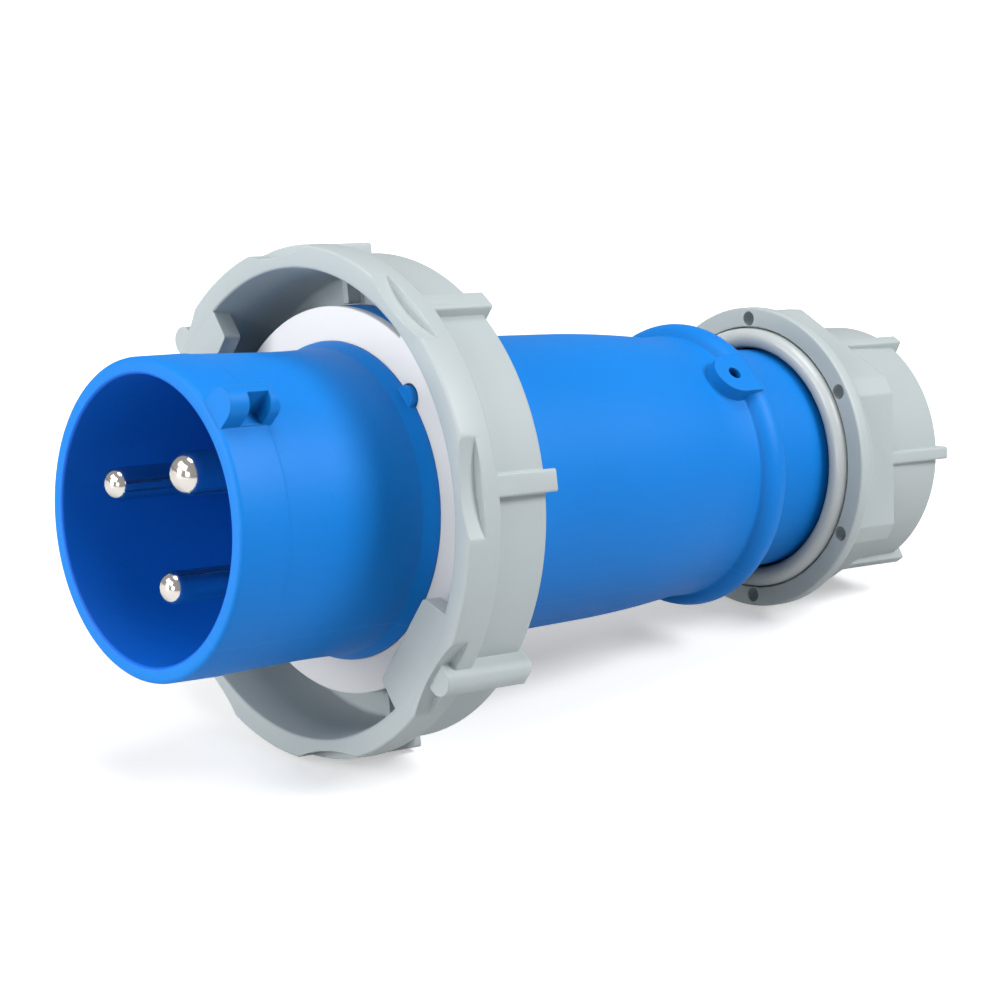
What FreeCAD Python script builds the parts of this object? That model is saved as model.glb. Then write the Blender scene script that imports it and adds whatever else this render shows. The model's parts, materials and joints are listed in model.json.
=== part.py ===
"""Industrial pin and sleeve plug: three contacts, watertight pattern with a bayonet ring and a gland.

Every piece is drawn about the plug's own axis. Along it, stations run from the mouth of the shroud
at 0 towards the cable end. Angles go round the axis from the local Y axis towards the local Z axis.
All pieces then get one common placement: the mouth looks along +X, and the plug lies on the floor
on its bayonet ring and on the flange of its gland nut, so its front end is raised a little.
"""
import FreeCAD, Part
import math
import os
import Sketcher
from FreeCAD import Placement, Rotation, Vector

# Driving sizes: millimetres, angles in degrees.
SIZES = (
    # contact shroud
    ("shroud_radius", 28.75, "outside of the shroud at its mouth"),
    ("shroud_wall", 3.05, "wall of the shroud at its mouth"),
    ("shroud_band", 10.2, "plain band behind the mouth"),
    ("shroud_step", 0.12, "fine step down behind the band"),
    ("waist_drop", 0.95, "slimmest place of the shroud below its radius at the mouth"),
    ("waist_setback", 9.2, "slimmest place in front of the gasket"),
    ("skirt_swell", 0.55, "flared skirt beyond the radius at the mouth"),
    ("skirt_rise", 1.15, "height of the bevel up to the skirt"),
    ("skirt_bevel", 2.6, "length of that bevel"),
    ("skirt_edge", 0.6, "straight side of the skirt"),
    ("mouth_round", 0.9, "rounding of the mouth's rim"),
    ("floor_station", 38.0, "front of the floor that carries the pins"),
    ("floor_thick", 8.0, "floor"),
    ("spigot_wall", 3.6, "wall of the spigot behind the floor"),
    ("spigot_length", 16.0, "spigot behind the floor"),
    # key on the shroud, and the nub behind it
    ("key_angle", 126.37, "place of the key, of the earth pin and of the handle's boss"),
    ("key_width", 6.3, "key"),
    ("key_height", 5.65, "key above the shroud"),
    ("key_length", 11.2, "key"),
    ("key_end_round", 2.0, "rounding of the key's rear end"),
    ("key_notch_start", 4.5, "notch in the flank of the key"),
    ("key_notch_length", 4.5, "notch along the axis"),
    ("key_notch_depth", 2.9, "notch into the flank"),
    ("nub_radius", 2.2, "half-round nub behind the skirt"),
    ("nub_rise", 2.0, "nub above the skirt"),
    ("nub_overlap", 1.2, "nub reaches this far onto the skirt"),
    # pins
    ("pin_circle", 12.6, "radius on which the pins stand"),
    ("pin_spread_angle", 110.4, "angle from the earth pin to each power pin"),
    ("power_radius", 3.0, "power pins"),
    ("earth_radius", 4.0, "earth pin"),
    ("pin_tip", 0.4, "tips behind the mouth"),
    ("tip_flat", 0.5, "flat at the middle of each tip"),
    ("pin_root_rim", 0.3, "thicker root in the floor beyond the shank"),
    ("collar_rim", 2.2, "collar of a pin beyond its shank"),
    ("collar_thick", 3.0, "collar"),
    ("barrel_rim", 1.4, "wire barrel beyond the shank"),
    ("barrel_length", 14.5, "wire barrels behind the floor"),
    ("power_wire_radius", 2.4, "wire bore of the power pins"),
    ("earth_wire_radius", 2.9, "wire bore of the earth pin"),
    ("wire_depth", 11.5, "depth of the wire bores"),
    ("clamp_setback", 5.0, "wire screws in front of the ends of the barrels"),
    ("clamp_screw_radius", 1.7, "shank of the wire screws"),
    ("clamp_head_radius", 2.7, "heads of the wire screws"),
    ("clamp_head_thick", 2.0, "heads of the wire screws"),
    ("clamp_pad_length", 5.0, "pressure pad under each screw"),
    ("clamp_pad_width", 3.0, "pressure pad"),
    ("clamp_pad_thick", 0.9, "pressure pad"),
    ("clamp_pad_low", 0.7, "underside of the pad above the wire bore's middle"),
    # plate that holds the pins, and the screws
    ("retainer_thick", 3.5, "plate behind the floor"),
    ("retainer_screw_angle", 80.0, "its screws, counted from the key"),
    ("retainer_screw_radius", 1.5, "shank"),
    ("retainer_screw_bite", 4.0, "depth of its screws in the floor"),
    ("retainer_head_radius", 2.6, "head"),
    ("retainer_head_thick", 1.8, "head"),
    ("screw_circle", 17.2, "radius on which these and the long screws stand"),
    ("insert_screw_angle", 55.2, "long screws, counted from the key"),
    ("insert_screw_radius", 2.0, "shank"),
    ("insert_screw_bite", 10.0, "long screws behind the spigot"),
    ("insert_head_radius", 3.4, "head"),
    ("insert_head_thick", 2.4, "head"),
    ("insert_head_sink", 0.3, "head below the floor"),
    ("insert_seal_thick", 1.0, "sealing washer under the head"),
    # gasket
    ("gasket_setback", 5.2, "face gasket behind the front of the floor"),
    ("gasket_thick", 2.0, "gasket"),
    ("gasket_seat", 0.3, "shallow seat of the skirt in the gasket"),
    ("gasket_tab_rise", 1.6, "locating tab beyond the outside of the gasket"),
    ("gasket_tab_angle", 15.0, "half angle of its locating tab"),
    # handle
    ("flange_room", 5.6, "free room between the flange and the wall of the ring"),
    ("flange_thick", 5.3, "front flange"),
    ("flange_bevel", 0.4, "bevel on its front edge"),
    ("housing_bore", 24.6, "bore that takes the spigot"),
    ("ring_seat_radius", 30.05, "seat on which the bayonet ring turns"),
    ("bead_rise", 1.15, "bead that keeps the ring on its seat"),
    ("bead_width", 1.4, "top of the bead"),
    ("grip_front_radius", 28.9, "handle behind the ring"),
    ("bead_slope", 3.7, "slope from the bead to the grip"),
    ("grip_mid_radius", 28.0, "handle at its middle"),
    ("grip_front_length", 36.0, "grip up to its middle"),
    ("grip_rear_radius", 26.05, "handle before the collar"),
    ("grip_rear_length", 25.0, "grip from its middle to the end of the taper"),
    ("grip_bow", 240.0, "bow of the taper, its middle to its centre"),
    ("grip_wall", 3.6, "wall of the handle"),
    ("collar_run", 9.6, "crest of the collar behind the taper"),
    ("collar_swell", 2.35, "crest of the collar above the taper"),
    ("collar_half", 3.2, "half the width of the collar"),
    ("boss_setback", 4.8, "hole of the boss in front of the crest"),
    ("boss_half", 4.6, "half width of the boss"),
    ("boss_rise", 0.25, "flat top of the boss above the collar's crest"),
    ("boss_hole_radius", 1.4, "hole"),
    ("boss_hole_depth", 4.5, "hole"),
    ("screw_boss_half", 3.9, "bosses for the long screws"),
    ("screw_boss_length", 11.5, "bosses for the long screws"),
    ("neck_radius", 22.2, "neck that carries the gland"),
    ("neck_margin", 14.0, "end of the neck in front of the end wall of the nut"),
    ("neck_wall", 4.4, "wall of the neck"),
    ("seal_setback", 5.4, "groove for the O-ring behind the front of the gasket"),
    ("seal_section", 1.1, "radius of the O-ring's section"),
    ("seal_room", 0.3, "groove beyond the O-ring on each side"),
    # bayonet ring
    ("ring_length", 19.9, "ring from its front to its rear face"),
    ("ring_band_radius", 47.1, "front band of the ring"),
    ("ring_band_width", 7.3, "front band"),
    ("ring_step", 2.1, "step from the front band down to the rest of the ring"),
    ("ring_floor_thick", 4.1, "ring behind the flange of the handle"),
    ("ring_front_wall", 4.1, "wall of the ring at its front"),
    ("ring_mid_wall", 2.9, "wall of the ring behind the tabs"),
    ("ring_rear_wall", 3.7, "wall of the ring at its rear flange"),
    ("ring_flange_thick", 1.8, "rear flange of the ring"),
    ("land_margin", 0.6, "raised land inside the edge of the flange"),
    ("ring_phase", 27.47, "angle of the first lug, tab, rib and scallop"),
    ("ring_count", 8, "ribs and scallops"),
    ("scallop_radius", 33.7, "hollow of a scallop"),
    ("scallop_depth", 2.0, "scallop below the band"),
    ("scallop_width", 3.5, "scallops along the axis"),
    ("rib_width", 4.1, "ribs"),
    ("rib_overhang", 0.7, "ribs and lugs behind the ring"),
    ("lug_radius", 2.65, "half-round finger lugs"),
    ("lug_rise", 2.2, "lugs above the band"),
    ("lug_setback", 1.0, "lugs behind the front face"),
    ("lug_end_round", 1.6, "rounding of the lugs' rear end"),
    ("tab_half_angle", 15.5, "half angle of the bayonet tabs"),
    ("tab_reach", 7.3, "bayonet tabs inwards from the wall of the ring"),
    ("tab_thick", 3.7, "bayonet tabs"),
    ("web_width", 1.4, "thin webs inside the ring"),
    ("web_height", 3.0, "thin webs"),
    ("web_angle", 72.47, "angle of the first web"),
    ("stop_angle", 90.0, "turn stops on the handle"),
    ("stop_half_angle", 4.0, "half angle of a stop"),
    ("stop_rise", 1.9, "stops above the ring's seat"),
    ("ring_turn_angle", 60.0, "travel of the ring"),
    ("stop_spare_angle", 0.8, "angle left free at each end of the travel"),
    # gland
    ("slip_radius", 24.6, "middle of the slip ring's section"),
    ("slip_section", 2.0, "radius of that section"),
    ("slip_run", 17.5, "slip ring behind the collar"),
    ("slip_notch_width", 1.6, "notches in the slip ring"),
    ("slip_notch_depth", 0.7, "notches in the slip ring"),
    ("nut_flange_radius", 30.8, "flange of the nut"),
    ("nut_flange_thick", 2.5, "flange of the nut"),
    ("nut_cone_length", 6.7, "cone behind the flange"),
    ("nut_cone_radius", 25.6, "small end of the cone, inside the hexagon"),
    ("hex_apothem", 26.8, "hexagon, axis to flat"),
    ("hex_corner", 29.85, "hexagon, axis to blunted corner"),
    ("hex_phase", 49.07, "angle of the first flat"),
    ("hex_run", 13.7, "rear end of the hexagon behind the front of the nut"),
    ("cap_radius", 25.9, "cap of the nut at the hexagon"),
    ("cap_end_radius", 25.3, "cap of the nut at its end"),
    ("nut_length", 29.45, "gland nut from its front to its rear face"),
    ("cap_round", 1.6, "rounding of the rear edge"),
    ("cap_floor", 3.75, "end wall of the nut"),
    ("cap_rib_width", 2.5, "ribs on the cap"),
    ("cap_rib_overhang", 0.8, "ribs beyond the rear face"),
    ("nut_hole_radius", 1.5, "small holes in the flange"),
    ("nut_hole_circle", 28.5, "small holes, axis to middle"),
    ("nut_hole_depth", 3.4, "small holes"),
    ("cable_entry_radius", 11.0, "hole for the cable"),
    ("nut_travel", 6.0, "how far the nut can be screwed forward"),
    ("washer_thick", 1.2, "friction washer in the nut"),
    ("washer_hole", 12.0, "hole of the friction washer"),
    ("cage_flange_thick", 2.0, "flange of the clamp cage on the neck's end"),
    ("cage_flange_radius", 21.0, "flange of the clamp cage"),
    ("cage_wall", 1.3, "sleeve of the cage in the neck"),
    ("cage_depth", 11.0, "sleeve of the cage in the neck"),
    ("finger_length", 4.0, "fingers of the cage"),
    ("finger_end_radius", 17.2, "fingers at their tip"),
    ("finger_slot", 1.2, "slots between the fingers"),
    ("finger_count", 12, "slots between the fingers"),
    ("grommet_hole", 10.6, "hole of the cable seal"),
    # clearances
    ("seat_gap", 0.05, "pins and screws in their holes"),
    ("rubber_gap", 0.05, "rubber pieces in their seats"),
    ("fit_gap", 0.3, "spigot, plate, gasket and cage in their bores"),
    ("run_gap", 0.3, "bayonet ring on its seat, slip ring in the nut"),
    ("neck_gap", 0.4, "slip ring and nut on the neck"),
)

doc = FreeCAD.newDocument("PinAndSleevePlug")
sheet = doc.addObject("Spreadsheet::Sheet", "Sizes")
for row, (word, number, meaning) in enumerate(SIZES, 1):
    sheet.set("A%d" % row, word)
    sheet.set("B%d" % row, str(number))
    sheet.set("C%d" % row, meaning)
    sheet.setAlias("B%d" % row, word)
doc.recompute()


class Size:
    """A length or angle that knows its value and the expression that gives it from the sheet."""

    def __init__(self, text, value):
        self.text = text
        self.value = float(value)

    def __add__(self, other):
        other = size(other)
        return Size("(%s + %s)" % (self.text, other.text), self.value + other.value)

    def __sub__(self, other):
        other = size(other)
        return Size("(%s - %s)" % (self.text, other.text), self.value - other.value)

    def __mul__(self, other):
        other = size(other)
        return Size("(%s * %s)" % (self.text, other.text), self.value * other.value)

    def __truediv__(self, other):
        other = size(other)
        return Size("(%s / %s)" % (self.text, other.text), self.value / other.value)

    def __neg__(self):
        return Size("(0 - %s)" % self.text, -self.value)

    __radd__ = __add__

    __rmul__ = __mul__

    def __rsub__(self, other):
        return size(other) - self

    def __rtruediv__(self, other):
        return size(other) / self


def size(thing):
    """A plain number, or a name from the sheet, as a Size."""
    if isinstance(thing, Size):
        return thing
    if isinstance(thing, str):
        return Size("Sizes." + thing, sheet.get(thing))
    return Size(repr(float(thing)), thing)


def cosine(angle):
    angle = size(angle)
    return Size("cos(%s * 1 deg)" % angle.text, math.cos(math.radians(angle.value)))


def sine(angle):
    angle = size(angle)
    return Size("sin(%s * 1 deg)" % angle.text, math.sin(math.radians(angle.value)))


def tangent(angle):
    angle = size(angle)
    return Size("tan(%s * 1 deg)" % angle.text, math.tan(math.radians(angle.value)))


def root(number):
    return Size("sqrt(%s)" % number.text, math.sqrt(number.value))


S = {word: size(word) for word, number, meaning in SIZES}


class Arc:
    """Joins the corner before it to the corner after it by an arc about a centre."""

    def __init__(self, x, y, turn):
        self.x = size(x)
        self.y = size(y)
        self.turn = turn


def origin_feature(body, role):
    return [item for item in body.Origin.OriginFeatures if item.Role == role][0]


def new_body(name):
    body = doc.addObject("PartDesign::Body", name)
    body.Label = name
    body.AllowCompound = True
    return body


def new_sketch(body, name, role, base, axis, angle):
    """A sketch on one of the body's own planes, moved by base and turned about axis."""
    sketch = body.newObject("Sketcher::SketchObject", name)
    sketch.AttachmentSupport = (origin_feature(body, role), "")
    sketch.MapMode = "FlatFace"
    turned = size(angle)
    base = [size(item) for item in base]
    where = Vector(base[0].value, base[1].value, base[2].value)
    sketch.AttachmentOffset = Placement(where, Rotation(axis, turned.value))
    for letter, item in zip("xyz", base):
        if "Sizes" in item.text:
            sketch.setExpression("AttachmentOffset.Base." + letter, item.text)
    if "Sizes" in turned.text:
        sketch.setExpression("AttachmentOffset.Rotation.Angle", turned.text)
    return sketch


def across(body, name, station, angle=0):
    """Sketch square to the plug's axis at a station: x points outwards at the angle."""
    return new_sketch(body, name, "YZ_Plane", (0, 0, station), Vector(0, 0, 1), angle)


def along(body, name, angle=0, radius=0, station=0):
    """Sketch in a plane through the axis: x along the axis, y outwards at the angle."""
    angle = size(angle)
    radius = size(radius)
    base = (station, radius * cosine(angle), radius * sine(angle))
    return new_sketch(body, name, "XY_Plane", base, Vector(1, 0, 0), angle)


def facing(body, name, angle, radius):
    """Sketch that faces outwards at the angle: x along the axis, y the other way round it."""
    angle = size(angle)
    radius = size(radius)
    base = (0, radius * cosine(angle), radius * sine(angle))
    return new_sketch(body, name, "XY_Plane", base, Vector(1, 0, 0), angle - 90)


def pin_down(sketch, geometry, point, x, y):
    """Ties a point of the sketch to its two coordinates."""
    for kind, item in (("DistanceX", x), ("DistanceY", y)):
        index = sketch.addConstraint(Sketcher.Constraint(kind, -1, 1, geometry, point, item.value))
        if "Sizes" in item.text:
            sketch.setExpression("Constraints[%d]" % index, item.text)


def outline(sketch, corners):
    """Closed outline through the corners; an Arc between two corners bends that side."""
    points = []
    sides = []
    for item in corners:
        if isinstance(item, Arc):
            sides[-1] = item
        else:
            points.append((size(item[0]), size(item[1])))
            sides.append(None)
    count = len(points)
    first = None
    joints = []
    for number in range(count):
        start = points[number]
        end = points[(number + 1) % count]
        a = Vector(start[0].value, start[1].value, 0)
        b = Vector(end[0].value, end[1].value, 0)
        side = sides[number]
        if side is None:
            index = sketch.addGeometry(Part.LineSegment(a, b), False)
            joints.append((index, 1, 2))
        else:
            centre = Vector(side.x.value, side.y.value, 0)
            circle = Part.Circle(centre, Vector(0, 0, 1), (a - centre).Length)
            angle_a = math.atan2(a.y - centre.y, a.x - centre.x)
            angle_b = math.atan2(b.y - centre.y, b.x - centre.x)
            if side.turn > 0:
                index = sketch.addGeometry(Part.ArcOfCircle(circle, angle_a, angle_b), False)
                joints.append((index, 1, 2))
            else:
                index = sketch.addGeometry(Part.ArcOfCircle(circle, angle_b, angle_a), False)
                joints.append((index, 2, 1))
    for number in range(count):
        index, first, last = joints[number]
        following = joints[(number + 1) % count]
        sketch.addConstraint(Sketcher.Constraint("Coincident", index, last, following[0], following[1]))
        pin_down(sketch, index, first, points[number][0], points[number][1])
    for number in range(count):
        side = sides[number]
        if side is None:
            continue
        start = points[number]
        end = points[(number + 1) % count]
        upright = abs(end[1].value - start[1].value) > abs(end[0].value - start[0].value)
        kind = "DistanceX" if upright else "DistanceY"
        item = side.x if upright else side.y
        index = sketch.addConstraint(Sketcher.Constraint(kind, -1, 1, joints[number][0], 3, item.value))
        if "Sizes" in item.text:
            sketch.setExpression("Constraints[%d]" % index, item.text)


def ring(sketch, x, y, radius):
    """Circle in a sketch."""
    x = size(x)
    y = size(y)
    radius = size(radius)
    circle = Part.Circle(Vector(x.value, y.value, 0), Vector(0, 0, 1), radius.value)
    index = sketch.addGeometry(circle, False)
    pin_down(sketch, index, 3, x, y)
    number = sketch.addConstraint(Sketcher.Constraint("Radius", index, radius.value))
    if "Sizes" in radius.text:
        sketch.setExpression("Constraints[%d]" % number, radius.text)


def settle(body, before, cut):
    """Recomputes, and makes sure that the last feature added or removed material."""
    doc.recompute()
    volume = body.Shape.Volume
    if cut and not volume < before - 1e-4:
        raise RuntimeError(body.Label + ": a cut removed nothing")
    if not cut and not volume > before + 1e-4:
        raise RuntimeError("%s: %s added nothing, %s" % (body.Label, body.Tip.Name, body.Tip.State))


def volume_of(body):
    return 0.0 if body.Shape.isNull() else body.Shape.Volume


def turn(body, sketch, cut=False, axis="H_Axis"):
    """Solid of revolution about an axis of the sketch, or a groove."""
    before = volume_of(body)
    kind = "PartDesign::Groove" if cut else "PartDesign::Revolution"
    feature = body.newObject(kind, sketch.Name + ("_groove" if cut else "_turned"))
    feature.Profile = sketch
    feature.ReferenceAxis = (sketch, [axis])
    feature.Angle = 360.0
    sketch.Visibility = False
    settle(body, before, cut)
    return feature


def extrude(body, sketch, length, cut=False, reverse=False):
    """Pad along the sketch's normal, or pocket against it; reverse swaps the direction."""
    before = volume_of(body)
    length = size(length)
    kind = "PartDesign::Pocket" if cut else "PartDesign::Pad"
    feature = body.newObject(kind, sketch.Name + ("_pocket" if cut else "_pad"))
    feature.Profile = sketch
    feature.Length = length.value
    if "Sizes" in length.text:
        feature.setExpression("Length", length.text)
    feature.Reversed = reverse
    sketch.Visibility = False
    settle(body, before, cut)
    return feature


def repeat(body, feature, count, cut=False):
    """Polar pattern of a feature round the plug's axis."""
    before = volume_of(body)
    pattern = body.newObject("PartDesign::PolarPattern", feature.Name + "_round")
    pattern.Originals = [feature]
    pattern.Axis = (origin_feature(body, "X_Axis"), [""])
    pattern.Angle = 360.0
    count = size(count)
    pattern.Occurrences = int(count.value)
    if "Sizes" in count.text:
        pattern.setExpression("Occurrences", count.text)
    body.Tip = pattern
    settle(body, before, cut)
    return pattern


def soften(body, name, radius, chosen):
    """Fillet on the edges of the body that the test picks."""
    before = volume_of(body)
    base = body.Tip
    edges = ["Edge%d" % number for number, edge in enumerate(base.Shape.Edges, 1) if chosen(edge)]
    if not edges:
        raise RuntimeError(body.Label + ": no edge to round")
    feature = body.newObject("PartDesign::Fillet", name)
    feature.Base = (base, edges)
    radius = size(radius)
    feature.Radius = radius.value
    if "Sizes" in radius.text:
        feature.setExpression("Radius", radius.text)
    doc.recompute()
    if abs(body.Shape.Volume - before) < 1e-6:
        raise RuntimeError(body.Label + ": the rounding changed nothing")
    return feature


def reach(edge):
    """Smallest and largest distance of an edge from the plug's axis, and its stations."""
    spots = [edge.valueAt(edge.FirstParameter + (edge.LastParameter - edge.FirstParameter) * part / 4)
             for part in range(5)]
    distances = [math.hypot(spot.y, spot.z) for spot in spots]
    stations = [spot.x for spot in spots]
    return min(distances), max(distances), min(stations), max(stations)


def near(a, b, slack=0.02):
    return abs(a - size(b).value) < slack


# Stations and radii that several pieces share.
shroud_bore = S["shroud_radius"] - S["shroud_wall"]
spigot_radius = S["housing_bore"] - S["fit_gap"]
spigot_bore = spigot_radius - S["spigot_wall"]
floor_back = S["floor_station"] + S["floor_thick"]
collar_front = floor_back - S["collar_thick"]
gasket_station = S["floor_station"] + S["gasket_setback"]
flange_front = gasket_station + S["gasket_thick"]
skirt_back = gasket_station + S["gasket_seat"]
flange_back = flange_front + S["flange_thick"]
waist_station = gasket_station - S["waist_setback"]
waist_radius = S["shroud_radius"] - S["waist_drop"]
skirt_radius = S["shroud_radius"] + S["skirt_swell"]
spigot_end = floor_back + S["spigot_length"]
barrel_end = floor_back + S["barrel_length"]
clamp_station = barrel_end - S["clamp_setback"]
insert_screw_end = spigot_end + S["insert_screw_bite"]
seal_groove_station = gasket_station + S["seal_setback"]
ring_rear = flange_back + S["ring_floor_thick"]
ring_front = ring_rear - S["ring_length"]
ring_back = ring_rear + S["run_gap"]
ring_rear_radius = S["ring_band_radius"] - S["ring_step"]
ring_lip_front = S["ring_band_radius"] - S["ring_front_wall"]
ring_lip_mid = ring_rear_radius - S["ring_mid_wall"]
ring_lip_rear = ring_rear_radius - S["ring_rear_wall"]
flange_radius = ring_lip_rear - S["flange_room"]
gasket_radius = flange_radius
ring_land_radius = flange_radius - S["land_margin"]
tab_distance = ring_lip_front - S["tab_reach"]
grip_front_station = ring_back + S["bead_width"] + S["bead_slope"]
grip_mid_station = grip_front_station + S["grip_front_length"]
grip_rear_station = grip_mid_station + S["grip_rear_length"]
collar_station = grip_rear_station + S["collar_run"]
collar_back = collar_station + S["collar_half"]
collar_foot = collar_station - S["collar_half"]
boss_station = collar_station - S["boss_setback"]
collar_radius = S["grip_rear_radius"] + S["collar_swell"]
slip_station = collar_back + S["slip_run"]
hex_end = slip_station + S["hex_run"]
cap_end = slip_station + S["nut_length"]
end_wall = cap_end - S["cap_floor"]
neck_end = end_wall - S["neck_margin"]
retainer_back = floor_back + S["retainer_thick"]
head_seat = S["floor_station"] + S["insert_head_sink"] + S["insert_head_thick"]
recess_floor = head_seat + S["insert_seal_thick"]
live_angle = S["key_angle"] - S["pin_spread_angle"]
neutral_angle = S["key_angle"] + S["pin_spread_angle"]
insert_angles = (
    S["key_angle"] - S["insert_screw_angle"],
    S["key_angle"] + S["insert_screw_angle"],
    S["key_angle"] + 180,
)
retainer_angles = (
    S["key_angle"] - S["retainer_screw_angle"],
    S["key_angle"] + S["retainer_screw_angle"],
)
pins = (
    ("live_pin", live_angle, S["power_radius"], S["power_wire_radius"]),
    ("neutral_pin", neutral_angle, S["power_radius"], S["power_wire_radius"]),
    ("earth_pin", S["key_angle"], S["earth_radius"], S["earth_wire_radius"]),
)
bodies = []


# Contact shroud: one moulding of shroud, key, skirt, floor and spigot.
shroud = new_body("contact_shroud")
bodies.append(shroud)
skirt_front = gasket_station - S["skirt_edge"]
crease = skirt_front - S["skirt_bevel"]
profile = along(shroud, "shroud_profile")
outline(profile, (
    (0, shroud_bore),
    (0, S["shroud_radius"]),
    (S["shroud_band"], S["shroud_radius"]),
    (S["shroud_band"], S["shroud_radius"] - S["shroud_step"]),
    (waist_station, waist_radius),
    (crease, skirt_radius - S["skirt_rise"]),
    (skirt_front, skirt_radius),
    (skirt_back, skirt_radius),
    (skirt_back, spigot_radius),
    (spigot_end, spigot_radius),
    (spigot_end, spigot_bore),
    (floor_back, spigot_bore),
    (floor_back, 0),
    (S["floor_station"], 0),
    (S["floor_station"], shroud_bore),
))
turn(shroud, profile)
soften(shroud, "mouth_rounding", S["mouth_round"], lambda edge: near(reach(edge)[3], 0))
seal_bottom = spigot_radius - S["seal_section"] * 2 + 0.1
groove = along(shroud, "seal_groove")
groove_end = seal_groove_station + (S["seal_section"] + S["seal_room"]) * 2
outline(groove, (
    (seal_groove_station, seal_bottom),
    (groove_end, seal_bottom),
    (groove_end, spigot_radius + 1),
    (seal_groove_station, spigot_radius + 1),
))
turn(shroud, groove, cut=True)

key_top = S["shroud_radius"] + S["key_height"]
key_flank = S["key_width"] / 2
key_bow = key_top - key_flank
key_root = S["shroud_radius"] - S["shroud_wall"] / 2
key = across(shroud, "key_section", S["mouth_round"] * 0.6, S["key_angle"])
outline(key, (
    (key_root, -key_flank),
    (key_bow, -key_flank),
    Arc(key_bow, 0, 1),
    (key_bow, key_flank),
    (key_root, key_flank),
))
extrude(shroud, key, S["key_length"] - S["mouth_round"] * 0.6)
shape = along(shroud, "key_end")
outline(shape, (
    (S["key_length"] - S["key_end_round"], key_top + 1),
    (S["key_length"] - S["key_end_round"], key_top),
    Arc(S["key_length"] - S["key_end_round"], key_top - S["key_end_round"], -1),
    (S["key_length"], key_top - S["key_end_round"]),
    (S["key_length"] + 1, key_top - S["key_end_round"]),
    (S["key_length"] + 1, key_top + 1),
))
turn(shroud, shape, cut=True)
notch = across(shroud, "key_notch", S["key_notch_start"] + S["key_notch_length"], S["key_angle"])
outline(notch, (
    (S["shroud_radius"] + S["shroud_step"], key_flank - S["key_notch_depth"]),
    (key_top + 1, key_flank - S["key_notch_depth"]),
    (key_top + 1, key_flank + 1),
    (S["shroud_radius"] + S["shroud_step"], key_flank + 1),
))
extrude(shroud, notch, S["key_notch_length"], cut=True)
nub_centre = skirt_radius + S["nub_rise"] - S["nub_radius"]
nub = across(shroud, "nub_section", gasket_station - S["nub_overlap"], S["key_angle"])
ring(nub, nub_centre, 0, S["nub_radius"])
extrude(shroud, nub, S["nub_overlap"] + S["gasket_thick"] - S["rubber_gap"])

for name, angle, shank, wire in pins:
    hole = along(shroud, "hole_of_" + name, angle, S["pin_circle"])
    outline(hole, (
        (S["floor_station"] - 1, 0),
        (S["floor_station"] - 1, shank + S["pin_root_rim"] + S["seat_gap"]),
        (collar_front, shank + S["pin_root_rim"] + S["seat_gap"]),
        (collar_front, shank + S["collar_rim"] + S["seat_gap"]),
        (floor_back + 1, shank + S["collar_rim"] + S["seat_gap"]),
        (floor_back + 1, 0),
    ))
    turn(shroud, hole, cut=True)
for number, angle in enumerate(insert_angles, 1):
    hole = along(shroud, "long_screw_hole_%d" % number, angle, S["screw_circle"])
    outline(hole, (
        (S["floor_station"] - 1, 0),
        (S["floor_station"] - 1, S["insert_head_radius"] + S["seat_gap"]),
        (recess_floor, S["insert_head_radius"] + S["seat_gap"]),
        (recess_floor, S["insert_screw_radius"] + S["seat_gap"]),
        (floor_back + 1, S["insert_screw_radius"] + S["seat_gap"]),
        (floor_back + 1, 0),
    ))
    turn(shroud, hole, cut=True)
for number, angle in enumerate(retainer_angles, 1):
    hole = along(shroud, "plate_screw_hole_%d" % number, angle, S["screw_circle"])
    outline(hole, (
        (floor_back - S["retainer_screw_bite"], 0),
        (floor_back - S["retainer_screw_bite"], S["retainer_screw_radius"] + S["seat_gap"]),
        (floor_back + 1, S["retainer_screw_radius"] + S["seat_gap"]),
        (floor_back + 1, 0),
    ))
    turn(shroud, hole, cut=True)


# Pins: dome, shank, root in the floor, collar, and barrel with a wire bore and a screw hole.
def wire_screw_top(shank):
    return S["pin_circle"] + shank + S["barrel_rim"]


for name, angle, shank, wire in pins:
    pin = new_body(name)
    bodies.append(pin)
    bow = shank - S["tip_flat"]
    profile = along(pin, name + "_profile", angle, S["pin_circle"])
    outline(profile, (
        (S["pin_tip"], 0),
        (S["pin_tip"], S["tip_flat"]),
        Arc(S["pin_tip"] + bow, S["tip_flat"], -1),
        (S["pin_tip"] + bow, shank),
        (S["floor_station"], shank),
        (S["floor_station"], shank + S["pin_root_rim"]),
        (collar_front, shank + S["pin_root_rim"]),
        (collar_front, shank + S["collar_rim"]),
        (floor_back, shank + S["collar_rim"]),
        (floor_back, shank + S["barrel_rim"]),
        (barrel_end, shank + S["barrel_rim"]),
        (barrel_end, wire),
        (barrel_end - S["wire_depth"], wire),
        (barrel_end - S["wire_depth"] - wire * 0.5, 0),
    ))
    turn(pin, profile)
    bore = along(pin, name + "_screw_hole", angle, 0, clamp_station)
    outline(bore, (
        (0, S["pin_circle"]),
        (S["clamp_screw_radius"] + S["seat_gap"], S["pin_circle"]),
        (S["clamp_screw_radius"] + S["seat_gap"], wire_screw_top(shank) + 1),
        (0, wire_screw_top(shank) + 1),
    ))
    turn(pin, bore, cut=True, axis="V_Axis")


# Screws that clamp the wires, and the pads under them.
def wire_screw(body, name, angle, shank):
    profile = along(body, name, angle, 0, clamp_station)
    top = wire_screw_top(shank)
    foot = S["pin_circle"] + S["clamp_pad_low"] + S["clamp_pad_thick"]
    outline(profile, (
        (0, foot),
        (S["clamp_screw_radius"], foot),
        (S["clamp_screw_radius"], top),
        (S["clamp_head_radius"], top),
        (S["clamp_head_radius"], top + S["clamp_head_thick"]),
        (0, top + S["clamp_head_thick"]),
    ))
    turn(body, profile, axis="V_Axis")


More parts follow.
